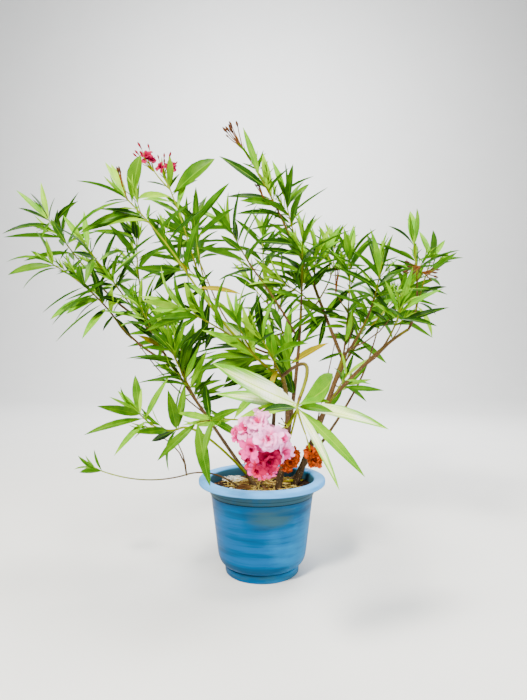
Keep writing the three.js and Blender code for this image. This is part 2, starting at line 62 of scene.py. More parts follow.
# Where a blunt leaf starts to be wider than others, and how fast
BLUNT_FROM = 0.45
BLUNT_GAIN = 2.2
# An arch whose bend is under this share of its length counts as straight
STRAIGHT = 0.01

# The pot's height, and how far the soil stops under its rim
POT_HEIGHT = 250.0
SOIL_TOP = POT_HEIGHT - 25.0


class Region(Enum):
    """The parts of the crown whose leaves are joined to one piece each."""

    LEFT = "left"
    MIDDLE = "middle"
    RIGHT = "right"
    BACK = "back"


class Tint(Enum):
    """The colours of leaves, from the deepest shade to dead."""

    # SHADE, FULL and SUNLIT are one leaf green with painted shade, in between, and with painted sunlight
    SHADE = "shade"
    FULL = "full"
    SUNLIT = "sunlit"
    YOUNG = "young"
    # PALE is painted sun glare: a green leaf painted white, green only at its edge and tip
    PALE = "pale"
    YELLOW = "yellow"
    DRY = "dry"


class Look(Enum):
    """The looks of blooms: the slots of their petals from the outer ring to the inner."""

    PALE = (0, 0, 0, 1)
    PINK = (0, 0, 1, 1)
    ROSE = (1, 1, 1, 2)
    DEEP = (2, 2, 2, 2)
    CORAL = (3, 1, 3, 2)
    FADED = (4, 5, 4, 5)


@dataclass(frozen=True)
class LimbPlan:
    """A cane or bough: the places that it passes, its thickness and where it starts."""

    by: Place
    to: Place
    thick: Pair
    foot: Pair = (0, 0)
    on: str = ""
    at: float = 0.0


@dataclass(frozen=True)
class LeafPlan:
    """A leaf named one by one: the share of its stem, its tip, what it faces, its bow and how blunt it is."""

    at: float
    to: Place
    wide: float
    tint: Tint = Tint.SUNLIT
    face: Place = (0, 0, 1)
    bow: float = 0.05
    blunt: float = 0.0


@dataclass(frozen=True)
class BloomPlan:
    """One double bloom: its centre, the way it faces, its size and its look."""

    at: Place
    face: Place
    size: float
    look: Look


@dataclass(frozen=True)
class HeadPlan:
    """A flower head: where its stalk forks, the middle of its buds, and what it bears."""

    hub: Place
    to: Place
    spread: float = 20.0
    buds: int = 0
    size: float = 15.0
    cone: float = 90.0
    at: float = 0.97
    dry: bool = False
    blooms: tuple[BloomPlan, ...] = ()


@dataclass(frozen=True)
class SprayPlan:
    """A leafy spray: the limb it grows on, the tip of its stem and what it bears."""

    on: str
    to: Place
    seed: int
    region: Region
    at: float = 1.0
    whorls: int = 5
    leaf: float = 138.0
    twigs: int = 0
    shut: float = 26.0
    open: float = 82.0
    wide: float = 0.175
    droop: float = 0.12
    own: tuple[LeafPlan, ...] = ()
    heads: tuple[HeadPlan, ...] = ()
    bits: tuple[tuple[Place, Place, Place], ...] = ()
    youth: float = 0.35


CANES = {
    "left_cane": LimbPlan((-135, 0, 390), (-335, 40, 675), (15, 9), foot=(-10, -10)),
    "front_cane": LimbPlan((65, -60, 395), (50, -120, 525), (17, 12), foot=(40, -30)),
    "centre_cane": LimbPlan((90, 70, 465), (110, 60, 715), (17, 8), foot=(45, 40)),
    "right_cane": LimbPlan((165, 40, 400), (230, 60, 575), (21, 13), foot=(85, 20)),
    "slim_cane": LimbPlan((245, 160, 410), (340, 220, 585), (11, 5.6), foot=(72, 44)),
    "back_cane": LimbPlan((40, 200, 485), (25, 265, 695), (15, 8), foot=(15, 75)),
    "runner_cane": LimbPlan((-125, -40, 264), (-205, -50, 263), (7, 5.4), foot=(-45, -25)),
}
BOUGHS = {
    "left_low_bough": LimbPlan((-340, 20, 610), (-400, 0, 680), (7, 5), on="left_cane", at=0.8),
    "left_high_bough": LimbPlan((-410, 70, 725), (-485, 100, 795), (7.6, 5), on="left_cane", at=1),
    "crossing_bough": LimbPlan((-60, -190, 620), (-190, -240, 795), (9.6, 6), on="front_cane", at=0.99),
    "bud_bough": LimbPlan((-155, -175, 785), (-180, -150, 860), (6, 4.4), on="crossing_bough", at=0.75),
    "flower_bough": LimbPlan((90, -330, 560), (70, -470, 505), (8.6, 6.4), on="front_cane", at=1),
    "centre_left_bough": LimbPlan((50, 25, 705), (-10, 10, 790), (6.8, 5), on="centre_cane", at=0.8),
    "tall_bough": LimbPlan((180, 110, 700), (145, 120, 800), (10.4, 8.4), on="right_cane", at=0.97),
    "tall_tip_bough": LimbPlan((95, 115, 895), (55, 105, 975), (8, 6), on="tall_bough", at=1),
    "outer_bough": LimbPlan((305, 10, 575), (390, -20, 645), (10.4, 7.6), on="right_cane", at=0.62),
    "outer_tip_bough": LimbPlan((405, -25, 685), (410, -30, 720), (7.2, 5.6), on="outer_bough", at=1),
    "right_fork_bough": LimbPlan((255, 20, 615), (280, -20, 675), (8, 5.6), on="right_cane", at=1),
    "back_left_bough": LimbPlan((-75, 310, 635), (-165, 370, 775), (7.6, 5), on="back_cane", at=0.7),
    "back_right_bough": LimbPlan((140, 340, 695), (230, 410, 825), (7.6, 5), on="back_cane", at=0.84),
    "low_bough": LimbPlan((-140, -110, 375), (-200, -150, 400), (7, 5.4), on="left_cane", at=0.16),
}

L, M, R, B = Region.LEFT, Region.MIDDLE, Region.RIGHT, Region.BACK
SHADE, FULL, SUNLIT, YOUNG, PALE, YELLOW = list(Tint)[:6]
# What the upper sides of measured leaves turn to
FRONT = (0, -1, 0.45)
SLANT = (0, -0.5, 1)
SPRAYS = {
    "flower_spray": SprayPlan(
        "flower_bough", (62, -515, 488), 70, M, whorls=0,
        own=(
            LeafPlan(0.5, (-75, -610, 570), 0.25, PALE, (-0.4, -1, 0.75), -0.02),
            LeafPlan(0.7, (-75, -560, 518), 0.2, PALE, (-0.1, -1, 0.9), 0.03),
            LeafPlan(0.75, (-34, -575, 482), 0.18, YOUNG, (-0.2, -1, 0.7), 0.06),
            LeafPlan(0.6, (112, -600, 553), 0.28, SUNLIT, (-0.75, -1, 0.3), -0.14, 0.5),
            LeafPlan(0.7, (228, -480, 448), 0.17, PALE, (0, -0.9, 1), 0.05),
            LeafPlan(0.7, (123, -526, 484), 0.3, SUNLIT, (0, -0.9, 1), 0.06),
            LeafPlan(0.8, (178, -520, 372), 0.12, SUNLIT, (0.3, -1, 0.35), 0.05),
            LeafPlan(0.8, (124, -590, 368), 0.1, PALE, (0.4, -1, 0.1), 0.04),
            LeafPlan(0.9, (0, -585, 492), 0.2, SHADE, (-0.1, -1, 1), 0.05),
            LeafPlan(0.55, (112, -560, 505), 0.26, SUNLIT, (0.1, -1, 0.9), 0.05),
        ),
        heads=(
            # The higher blooms that face up get the palest looks and the lower ones that face down the
            # deepest: partly painted sunlight and painted shade, partly the blooms' own range of pinks
            HeadPlan(
                (32, -540, 452), (0, -562, 430), blooms=(
                    BloomPlan((-5, -566, 476), (-0.2, -1, 0.7), 42, Look.PALE),
                    BloomPlan((-27, -556, 462), (-0.7, -0.9, 0.3), 36, Look.PINK),
                    BloomPlan((-42, -545, 450), (-1, -0.6, 0), 28, Look.ROSE),
                    BloomPlan((12, -590, 450), (0.05, -1, 0.25), 42, Look.PALE),
                    BloomPlan((33, -562, 444), (0.7, -1, 0.2), 36, Look.PINK),
                    BloomPlan((-15, -584, 432), (-0.4, -1, -0.1), 36, Look.ROSE),
                    BloomPlan((38, -566, 424), (0.8, -0.9, -0.2), 34, Look.PINK),
                    BloomPlan((14, -582, 412), (0.15, -1, -0.35), 40, Look.DEEP),
                    BloomPlan((-6, -570, 396), (-0.3, -1, -0.6), 36, Look.CORAL),
                    BloomPlan((12, -560, 390), (0.25, -0.8, -0.8), 32, Look.CORAL),
                    BloomPlan((-24, -562, 416), (-0.8, -0.8, -0.3), 26, Look.DEEP),
                    BloomPlan((4, -538, 462), (0.1, -0.2, 1), 34, Look.PINK),
                    BloomPlan((-12, -528, 430), (-0.8, 0.5, 0.1), 34, Look.ROSE),
                    BloomPlan((20, -532, 410), (0.3, 0.6, -0.6), 32, Look.DEEP),
                ),
            ),
            HeadPlan(
                (48, -532, 440), (50, -545, 405), blooms=(
                    BloomPlan((48, -552, 406), (0.1, -1, -0.1), 32, Look.FADED),
                    BloomPlan((56, -542, 416), (0.5, -0.8, 0.4), 26, Look.FADED),
                    BloomPlan((42, -540, 392), (-0.2, -0.7, -0.8), 24, Look.FADED),
                ),
            ),
            HeadPlan(
                (76, -520, 446), (88, -520, 402), blooms=(
                    BloomPlan((90, -528, 404), (0.2, -1, 0), 32, Look.FADED),
                    BloomPlan((86, -518, 417), (0.1, -0.5, 0.9), 26, Look.FADED),
                    BloomPlan((98, -514, 397), (0.7, -0.4, -0.6), 24, Look.FADED),
                ),
            ),
            HeadPlan((44, -545, 462), (38, -560, 468), 9, 4, 8, 70),
        ),
    ),
    "left_low_spray": SprayPlan("left_low_bough", (-550, -40, 815), 3, L, whorls=7),
    "left_high_spray": SprayPlan("left_high_bough", (-630, 130, 975), 5, L, whorls=6),
    "tall_tip_spray": SprayPlan(
        "tall_tip_bough", (-30, 90, 1130), 21, M, whorls=6, leaf=150,
        heads=(
            HeadPlan((-54, 90, 1166), (-80, 90, 1206), 23, 7, 18, 76, dry=True),
            HeadPlan((4, 98, 1030), (-6, 96, 1054), 9, 4, 14, 60, at=0.3, dry=True),
        ),
    ),
    "crossing_spray": SprayPlan(
        "crossing_bough", (-295, -275, 920), 11, L, whorls=6, shut=32, open=90, wide=0.2, youth=0.9,
        own=(
            LeafPlan(0.9, (-262, -285, 1010), 0.3, FULL, (-0.3, -1, 0.1), 0.05, 0.7),
            LeafPlan(0.8, (-344, -262, 864), 0.17, YOUNG, (0.1, -0.7, 1), 0.22),
        ),
        heads=(HeadPlan((-302, -276, 946), (-308, -276, 970), 7, 3, 13, 60, dry=True),),
    ),
    "bud_spray": SprayPlan(
        "bud_bough", (-225, -140, 985), 13, L, whorls=6, youth=0.8,
        own=(LeafPlan(0.85, (-112, -165, 1046), 0.31, FULL, (-0.3, -1, 0.3), 0.05, 0.5),),
        heads=(
            HeadPlan(
                (-260, -145, 1022), (-284, -148, 1054), 22, 7, 13, 90, blooms=(
                    BloomPlan((-277, -158, 1056), (-0.2, -1, 0.5), 30, Look.DEEP),
                    BloomPlan((-266, -150, 1050), (0.5, -0.7, 0.6), 26, Look.DEEP),
                ),
            ),
            HeadPlan(
                (-238, -140, 1016), (-234, -140, 1038), 20, 7, 12, 100, blooms=(
                    BloomPlan((-246, -150, 1032), (-0.7, -1, 0.2), 24, Look.DEEP),
                    BloomPlan((-220, -148, 1034), (0.6, -1, 0.3), 28, Look.DEEP),
                ),
            ),
        ),
    ),
    "outer_spray": SprayPlan(
        "outer_tip_bough", (400, -35, 865), 27, R, whorls=4, leaf=130,
        heads=(
            HeadPlan((398, -96, 800), (378, -104, 794), 15, 6, 13, 100, at=0.45, dry=True),
            HeadPlan((404, -96, 786), (420, -102, 784), 13, 5, 13, 100, at=0.35, dry=True),
        ),
    ),
    "outer_right_spray": SprayPlan(
        "outer_tip_bough", (465, 20, 845), 28, R, at=0.7, whorls=4, leaf=125,
        own=(LeafPlan(0.05, (452, -22, 622), 0.2, YOUNG, (0.5, -1, 0.5), 0.08),),
    ),
    "runner_spray": SprayPlan(
        "runner_cane", (-435, -60, 285), 47, L, whorls=2, leaf=80, wide=0.27,
        bits=(
            ((-196, -51, 263), (-214, -52, 322), (-264, -55, 368)),
            ((-196, -51, 263), (-206, -50, 318), (-232, -52, 368)),
        ),
    ),
    "low_spray": SprayPlan("low_bough", (-285, -190, 440), 143, L, leaf=140, shut=35, youth=0.9),
    "front_low_spray": SprayPlan(
        "front_cane", (-115, -265, 435), 45, M, at=0.35, whorls=4, shut=50, open=110, droop=0.3, youth=0.6,
        bits=(((-115, -265, 435), (-127, -278, 435), (-140, -291, 434)),),
    ),
    "right_fork_spray": SprayPlan("right_fork_bough", (310, -60, 820), 31, R, whorls=6, leaf=145),
    "right_top_spray": SprayPlan(
        "right_cane", (245, 45, 855), 33, R, at=0.98, whorls=7,
        heads=(HeadPlan((205, 42, 750), (208, 40, 800), 26, 3, 5, 40, at=0.45, dry=True),),
    ),
    "left_inner_spray": SprayPlan("left_cane", (-445, -80, 850), 7, L, at=0.97, whorls=6, leaf=130),
    "left_upright_spray": SprayPlan("left_cane", (-360, 90, 945), 209, L, at=0.95, whorls=7, leaf=135),
    "slim_spray": SprayPlan("crossing_bough", (-170, -60, 945), 15, M, at=0.7, whorls=6, leaf=130, youth=0.6),
    "centre_left_spray": SprayPlan("centre_left_bough", (-85, -15, 915), 17, M, whorls=6),
    "centre_top_spray": SprayPlan("centre_cane", (110, 10, 890), 19, M, whorls=6, leaf=135),
    "tall_side_spray": SprayPlan("tall_tip_bough", (65, 130, 1050), 23, M, at=0.25),
    "tall_low_spray": SprayPlan("tall_bough", (155, 60, 860), 25, M, at=0.85, whorls=4),
    "tall_left_spray": SprayPlan("tall_bough", (60, 40, 775), 26, M, at=0.45, whorls=4),
    "right_fan_spray": SprayPlan("right_cane", (450, 165, 790), 29, R, at=0.86, whorls=7, leaf=135),
    "slim_right_spray": SprayPlan("slim_cane", (400, 280, 750), 35, R, leaf=135),
    "left_mid_spray": SprayPlan("left_cane", (-245, -40, 605), 49, L, at=0.6, whorls=6),
    "left_fork_spray": SprayPlan(
        "left_cane", (-320, -40, 705), 50, L, at=0.84, whorls=4, leaf=130,
        bits=(((-148, 4, 412), (-245, 5, 497), (-340, 18, 608)),),
        own=(LeafPlan(0.2, (-320, -66, 628), 0.16, YELLOW, (0, -1, 0.3)),),
    ),
    "cross_mid_spray": SprayPlan(
        "crossing_bough", (-55, -200, 650), 51, M, at=0.3, whorls=4,
        own=(LeafPlan(0.15, (-118, -195, 674), 0.2, PALE, (-0.5, -1, 0.5)),),
    ),
    "cross_high_spray": SprayPlan("crossing_bough", (-185, -240, 685), 53, L, at=0.45, leaf=135),
    "cross_side_spray": SprayPlan(
        "crossing_bough", (-210, -130, 820), 54, L, at=0.78, whorls=4, leaf=130,
        own=(
            LeafPlan(0.2, (-50, -150, 725), 0.16, YELLOW, (0.2, -1, 0.8)),
            LeafPlan(0.5, (-192, -235, 790), 0.24, YELLOW, (-0.2, -1, 0.4)),
        ),
    ),
    "knot_spray": SprayPlan(
        "front_cane", (0, -200, 615), 55, M, at=0.93, whorls=4, shut=35, wide=0.2,
        own=(LeafPlan(0.3, (20, -180, 490), 0.22, YELLOW, (-0.6, -1, 0.1)),),
    ),
    "right_low_spray": SprayPlan(
        "right_cane", (220, -60, 525), 57, R, at=0.5, whorls=2, leaf=90,
        bits=(
            ((192, 48, 470), (236, 52, 575), (257, 50, 718)),
            ((262, -2, 535), (336, -14, 602), (378, -20, 675)),
            ((236, 22, 590), (318, 5, 640), (362, -10, 712)),
            ((150, 38, 380), (176, 60, 480), (214, 80, 640)),
        ),
    ),
    "centre_mid_spray": SprayPlan(
        "centre_cane", (30, 90, 735), 59, M, at=0.5, whorls=7,
        own=(
            LeafPlan(0.5, (15, 60, 630), 0.14, YELLOW, (0.3, -1, 0.2)),
            LeafPlan(0.3, (188, 60, 610), 0.19, YELLOW, (-0.5, -1, 0.7)),
        ),
    ),
    "outer_side_spray": SprayPlan("outer_bough", (345, -110, 695), 65, R, at=0.6, whorls=4, leaf=130),
    "back_spray": SprayPlan("back_cane", (0, 310, 970), 37, B, whorls=6, twigs=1),
    "back_left_spray": SprayPlan("back_left_bough", (-270, 430, 1020), 39, B, whorls=6, twigs=1),
    "back_right_spray": SprayPlan("back_right_bough", (255, 470, 970), 41, B, whorls=6, twigs=1),
    "left_back_spray": SprayPlan("left_cane", (-315, 300, 680), 61, B, at=0.66, whorls=6, twigs=1),
    "right_back_spray": SprayPlan("right_cane", (350, 330, 685), 63, B, at=0.66, whorls=6, twigs=1),
}


def sighted(right: float, down: float, depth: float | np.ndarray) -> np.ndarray:
    """Returns the places seen at a pixel of the photograph, at some depths from the camera."""
    across = (right - MIDDLE[0]) / FOCUS * depth + VIEWER[0]
    above = VIEWER[2] + (MIDDLE[1] - down) / FOCUS * depth
    return np.stack((across, depth + VIEWER[1], above), axis=-1)


def tip(at: float, right: float, down: float, back: float, wide: float, tint: Tint, bow: float = 5,
        face: Place = FRONT) -> LeafPlan:
    """Plans a leaf of which the photograph shows the tip and not the foot.

    Args:
        at: Where it leaves its stem, in hundredths of the stem.
        right: The tip's pixel, from the left.
        down: The tip's pixel, from the top.
        back: How far back the tip lies, in millimetres.
        wide: Its width, in hundredths of its length.
        tint: Its colour.
        bow: How much it bows, in hundredths of its length.
        face: What its upper side turns to.

    Returns:
        The plan, in whole millimetres.
    """
    place = np.rint(sighted(right, down, back - VIEWER[1]))
    return LeafPlan(at / 100, tuple(place), wide / 100, tint, face, bow / 100)


@dataclass(frozen=True)
class Whole:
    """A leaf picked from foot to tip, in pixels; its side is 1 if the tip lies behind the foot, else -1."""

    foot_right: float
    foot_down: float
    tip_right: float
    tip_down: float
    width: float
    tint: Tint
    bow: float = 5
    side: int = -1
    # The places of the stem and the depths behind it that are tried
    shares: tuple[float, float, int] = (0.02, 0.995, 200)
    depths: tuple[float, float, int] = (0, 110, 56)
    # Its length against a grown leaf's, its least width in millimetres, its width against its length, and
    # the share of that width under which it is seen aslant
    usual: float = 0.92
    narrowest: float = 16.0
    wide: Pair = (0.12, 0.32)
    turned: float = 0.75

    def plan(self, arch: "Arch", grown: float) -> LeafPlan:
        """Works out the leaf's own sizes.

        Args:
            arch: Its stem.
            grown: How long the leaves of its spray grow.

        Returns:
            The plan, from the nearest place of the stem to the depth that makes the leaf as long as is usual.
        """
        shares = np.linspace(*self.shares)
        places = arch.place(shares)
        depths = places[:, 1] - VIEWER[1]
        right = MIDDLE[0] + (places[:, 0] - VIEWER[0]) / depths * FOCUS
        down = MIDDLE[1] + (VIEWER[2] - places[:, 2]) / depths * FOCUS
        nearest = np.argmin(np.hypot(right - self.foot_right, down - self.foot_down))
        foot, depth = places[nearest], depths[nearest]
        tried = sighted(self.tip_right, self.tip_down, depth + self.side * np.linspace(*self.depths))
        lengths = np.linalg.norm(tried - foot, axis=1)
        best = np.argmin(np.abs(lengths - grown * self.usual))
        place, length = tried[best], lengths[best]
        seen = self.width / FOCUS * (depth + place[1] - VIEWER[1]) / 2
        wide = round(float(np.clip(max(seen, self.narrowest) / length, *self.wide)), 2)
        face = FRONT if seen > self.turned * wide * length else SLANT
        at = round(float(shares[nearest]), 2)
        return LeafPlan(at, tuple(np.rint(place)), wide, self.tint, face, self.bow / 100)


def tips(*rows: tuple[Any, ...]) -> tuple[LeafPlan, ...]:
    """Returns plans from rows of share, pixel from left and top, distance back, width, tint, bow and face."""
    return tuple(tip(*row) for row in rows)


def wholes(*rows: tuple[Any, ...]) -> tuple[Whole, ...]:
    """Returns whole leaves from rows of foot, tip, width, tint, bow and side."""
    return tuple(Whole(*row) for row in rows)


# How many ranks of leaves at a spray's tip give way to others, and the leaves that were picked there
PICKED: dict[str, tuple[int, tuple[LeafPlan | Whole, ...]]] = {
    "left_high_spray": (3, tips(
        (80, 58, 209, 60, 15, SHADE), (70, 64, 226, 60, 15, SHADE), (60, 97, 232, 80, 14, FULL),
        (55, 60, 260, 90, 14, SHADE), (45, 92, 238, 60, 15, FULL),
    ) + wholes(
        (48, 222, 16, 190, 5, SUNLIT, 4, 1), (48, 220, 30, 193, 9, SHADE, 3),
        (50, 218, 41, 182, 5, YOUNG, 2, 1), (51, 220, 55, 197, 6, SUNLIT, 3), (55, 226, 78, 201, 7, SHADE, 9),
        (48, 223, 18, 208, 5, SHADE, 4), (50, 228, 2, 234, 5, SHADE, 10), (47, 224, 42, 238, 6, FULL),
        (60, 236, 22, 224, 3, FULL, 6, 1),
    )),
    "left_low_spray": (4, tips(
        (2, 109, 322, -60, 20, SHADE), (8, 100, 311, -80, 20, SUNLIT, 4), (30, 68, 313, -30, 16, SUNLIT, 10),
        (28, 61, 309, -60, 17, FULL, 12), (50, 62, 262, -10, 13, SHADE, 2), (60, 92, 292, -60, 17, FULL),
        (10, 92, 318, -60, 17, SHADE), (20, 90, 262, -50, 15, SHADE), (2, 120, 302, -60, 20, SHADE, 4),
        (5, 112, 285, -30, 20, YOUNG, 3), (0, 131, 313, -60, 18, SHADE, 8), (0, 103, 331, 60, 15, SHADE, 4),
        (0, 132, 340, 40, 18, SHADE, 6),
    ) + wholes(
        (55, 267, 8, 275, 8, FULL, 10), (54, 264, 31, 258, 4, SHADE), (51, 262, 31, 251, 5, FULL, 4, 1),
        (50, 260, 36, 231, 7, FULL, 4), (62, 262, 6, 262, 3, FULL, 14, 1), (58, 268, 23, 289, 3, FULL, 10, 1),
        (52, 262, 46, 238, 5, YOUNG, 3), (68, 276, 84, 258, 4, SHADE, 6, 1),
        (97, 298, 50, 320, 9, SUNLIT, 12), (100, 296, 66, 314, 6, SUNLIT, 6, 1),
        (98, 300, 74, 324, 3, SHADE, 6, 1), (108, 306, 82, 339, 8, SUNLIT, 6),
        (110, 300, 131, 270, 4, SHADE, 5, 1),
    )),
    "left_inner_spray": (3, tips(
        (30, 97, 296, -40, 16, SHADE, 4), (55, 84, 287, -60, 18, SHADE, 3), (50, 125, 272, -40, 12, SHADE, 8),
        (60, 118, 253, 0, 13, FULL, 8), (15, 160, 332, -20, 16, SHADE), (20, 112, 319, -40, 15, FULL),
        (25, 134, 282, -60, 15, SUNLIT, 3), (30, 149, 319, 30, 15, SHADE, 4),
        (10, 147, 298, -30, 16, YOUNG, 3), (40, 107, 311, -30, 16, YOUNG), (38, 135, 284, 0, 15, SUNLIT),
    ) + wholes(
        (86, 256, 58, 228, 7, SHADE, 4), (87, 250, 63, 215, 6, SUNLIT, 3, 1),
        (88, 250, 84, 211, 5, SUNLIT, 2, 1), (90, 255, 107, 231, 8, SHADE, 4),
        (92, 262, 71, 252, 8, SHADE, 4), (87, 262, 85, 284, 7, FULL, 4), (95, 264, 127, 252, 3, FULL, 10, 1),
        (98, 280, 112, 257, 8, FULL, 4),
    )),
    "crossing_spray": (4, tips(
        (75, 88, 227, -270, 16, FULL, 10), (70, 80, 233, -240, 13, FULL, 12),
        (62, 106, 226, -290, 9, YOUNG, 20), (60, 113, 214, -200, 15, SHADE),
        (68, 99, 209, -300, 14, SHADE, 6),
    ) + wholes(
        (116, 192, 76, 181, 5, FULL), (117, 196, 105, 162, 4, YOUNG, 2, 1),
        (119, 196, 111, 164, 4, YOUNG, 2, 1), (125, 204, 104, 203, 5, SHADE, 4),
        (122, 207, 66, 246, 6, FULL, 13, 1), (131, 214, 110, 216, 5, SHADE, 5, 1),
        (140, 226, 150, 204, 5, SUNLIT, 4, 1), (142, 224, 158, 210, 5, FULL),
    )),
    "left_upright_spray": (4, tips(
        (90, 113, 216, 60, 15, SHADE, 4), (80, 118, 219, 100, 14, SHADE, 4),
    ) + wholes(
        (138, 240, 134, 216, 8, SHADE, 3), (139, 242, 105, 234, 6, SHADE, 6),
        (140, 238, 92, 231, 5, FULL, 8, 1), (140, 262, 104, 270, 4, FULL, 8, 1),
        (140, 262, 168, 252, 5, FULL, 6), (140, 282, 160, 276, 5, SUNLIT, 6, 1),
        (139, 284, 122, 300, 6, FULL, 6), (140, 290, 132, 302, 6, FULL, 5, 1),
    )),
    "bud_spray": (6, wholes(
        (165, 188, 146, 182, 6, SHADE, 3), (172, 198, 138, 200, 6, YOUNG, 16, 1),
        (169, 186, 170, 156, 4, YOUNG, 2), (172, 188, 180, 174, 6, FULL, 4),
        (176, 192, 198, 180, 5, SHADE, 4, 1), (172, 205, 142, 200, 5, SUNLIT, 4),
        (175, 210, 188, 176, 5, SUNLIT, 5, 1), (178, 215, 150, 200, 5, FULL, 4, 1),
    )),
    "slim_spray": (2, tips(
        (5, 188, 283, -240, 20, SUNLIT), (10, 203, 345, -150, 15, SHADE), (15, 192, 264, -190, 15, SHADE, 4),
        (20, 186, 300, -160, 15, SHADE, 4),
    ) + wholes(
        (192, 218, 178, 206, 5, SHADE, 5, 1), (196, 214, 198, 198, 6, SUNLIT, 3),
        (196, 220, 207, 196, 4, FULL, 4, 1), (194, 226, 180, 212, 6, FULL, 3),
    )),
    "tall_tip_spray": (4, wholes(
        (262, 174, 243, 127, 7, SUNLIT, 3), (268, 188, 219, 156, 10, SHADE, 3),
        (272, 198, 262, 152, 8, YOUNG, 2, 1), (271, 200, 226, 197, 6, SHADE, 5, 1),
        (278, 216, 236, 214, 7, SHADE), (276, 206, 240, 201, 8, FULL, 6),
        (268, 188, 255, 170, 6, SUNLIT, 3, 1),
    )),
    "tall_side_spray": (2, tips(
        (55, 257, 208, 90, 18, SHADE, 4), (30, 266, 222, 100, 15, FULL, 4), (20, 275, 236, 90, 15, SHADE, 4),
    ) + wholes(
        (285, 198, 272, 160, 7, SUNLIT, 3, 1), (287, 199, 285, 162, 8, SUNLIT, 2),
        (286, 200, 277, 178, 6, SHADE, 3), (288, 204, 309, 184, 5, FULL, 5, 1), (289, 208, 303, 190, 6, FULL),
    )),
    "outer_spray": (2, tips(
        (99, 410, 211, 19, 22, SUNLIT, 3),
    ) + wholes(
        (417, 243, 417, 208, 9.5, SUNLIT, 2), (414, 244, 388, 226, 6, SHADE),
        (419, 262, 455, 257, 3, FULL, 7, 1), (418, 262, 400, 250, 5, FULL, 5, 1),
    )),
    "outer_right_spray": (2, wholes(
        (428, 256, 433, 230, 9, FULL, 3), (426, 258, 419, 231, 6, SUNLIT, 3, 1),
        (427, 258, 445, 240, 6, SUNLIT, 4, 1), (421, 294, 447, 287, 5, SHADE),
        (419, 303, 436, 315, 7, SHADE, 7),
    )),
    "right_fan_spray": (1, tips(
        (30, 352, 322, 60, 14, FULL), (45, 400, 321, 70, 15, SHADE), (35, 380, 322, 40, 15, SHADE),
        (20, 372, 345, 40, 13, SHADE),
    ) + wholes(
        (410, 295, 394, 266, 7, FULL, 3), (411, 294, 426, 262, 7, SUNLIT, 4),
        (409, 296, 420, 272, 5, SUNLIT, 3, 1), (404, 304, 380, 297, 5, SHADE, 6, 1),
    )),
    "right_fork_spray": (2, tips(
        (10, 352, 300, -60, 15, FULL), (15, 388, 322, -60, 16, SHADE),
    ) + wholes(
        (379, 276, 370, 228, 8, SUNLIT, 3), (382, 268, 382, 240, 7, YOUNG, 2, 1),
        (378, 289, 334, 267, 7, SHADE, 6), (383, 282, 393, 234, 4, FULL, 4, 1),
        (381, 290, 408, 268, 4, FULL, 5, 1), (380, 292, 362, 272, 5, SUNLIT, 4, 1),
    )),
    "right_top_spray": (1, tips(
        (20, 330, 334, 110, 15, FULL), (10, 357, 322, 60, 15, SHADE), (10, 366, 362, 60, 13, SHADE),
        (30, 322, 327, 0, 12, FULL, 7), (15, 352, 310, 20, 15, SUNLIT, 4), (50, 372, 321, 50, 13, SHADE, 8),
        (15, 337, 331, 10, 18, SHADE), (40, 328, 318, 30, 14, FULL), (25, 368, 346, 80, 13, SHADE),
        (5, 318, 362, 40, 14, SHADE), (35, 357, 300, 40, 14, FULL, 4),
    ) + wholes(
        (350, 262, 344, 228, 7, SUNLIT, 3), (352, 260, 354, 225, 7, SUNLIT, 3, 1),
        (352, 274, 330, 250, 6, SUNLIT, 4), (354, 264, 374, 236, 6, FULL, 5, 1),
    )),
    "low_spray": (4, wholes(
        (145, 418, 84, 435, 6, FULL, 8), (141, 413, 97, 406, 8.5, FULL, 4),
    ) + tips(
        (99, 109, 396.75, -250, 10, SUNLIT, 4),
    ) + wholes(
        (140, 411, 118, 391, 7, SUNLIT, 3, 1), (141, 408, 135, 375, 9, FULL, 3, 1),
    ) + tips(
        (99, 141.75, 387.25, -150, 12, YOUNG, 3),
    ) + wholes(
        (150, 414, 169, 377, 6, SUNLIT, 3), (144, 424, 114, 456, 7.5, SUNLIT),
        (168, 426, 137, 433, 8.5, FULL, 6), (175, 424, 168, 390, 10, FULL, 3),
        (177, 424, 185, 384, 7, FULL, 3, 1),
    )),
    "front_low_spray": (3, tips(
        (110, 157, 461, -302, 16, FULL, 6), (110, 210, 486, -298, 20, FULL), (97, 203, 461, -345, 13, FULL),
    ) + wholes(
        (208, 426, 206, 384, 9, SHADE, 4, 1), (207, 426, 178, 413, 8.5, SUNLIT, 6, 1),
        (211, 425, 241, 408, 9, FULL), (212, 427, 240, 437, 9, FULL, 6, 1),
    )),
    "cross_mid_spray": (0, tips(
        (0, 201.5, 359.5, -250, 15, FULL, 5, SLANT), (0, 218, 363, -130, 20, FULL, 4, SLANT),
        (5, 242, 305, -210, 13, YOUNG, 2), (0, 201.5, 330, -230, 19, SUNLIT, 6),
        (10, 226, 372, -90, 16, SUNLIT), (20, 214, 345, -120, 15, SHADE, 5, SLANT),
        (0, 225, 383, -60, 17, FULL), (2, 198.5, 371, -170, 15, FULL, 6),
        (12, 213.25, 361.5, -60, 12, YOUNG, 5, SLANT),
    )),
    "knot_spray": (0, tips(
        (0, 260, 388, -100, 15, SHADE, 4), (0, 270, 392, -140, 15, SHADE, 4),
        (45, 300, 361.5, -190, 18, FULL, 5, SLANT), (45, 268, 322, -180, 24, SUNLIT, 3),
        (40, 229, 376, -140, 16, FULL), (30, 222, 388, -90, 15, SHADE), (20, 240, 398, -70, 15, SHADE),
        (60, 236, 366, -110, 15, FULL), (10, 262, 400, -60, 14, FULL), (35, 237.5, 390.5, -90, 13, SUNLIT),
        (25, 238, 384, -110, 15, FULL), (15, 246.5, 392.25, -50, 15, SHADE),
        (50, 223.5, 350, -110, 14, SUNLIT),
    )),
    "centre_mid_spray": (0, tips(
        (0, 276, 378, 30, 15, SHADE, 4), (0, 262, 372, 30, 14, SHADE, 4), (0, 290, 374, 0, 16, SHADE, 3),
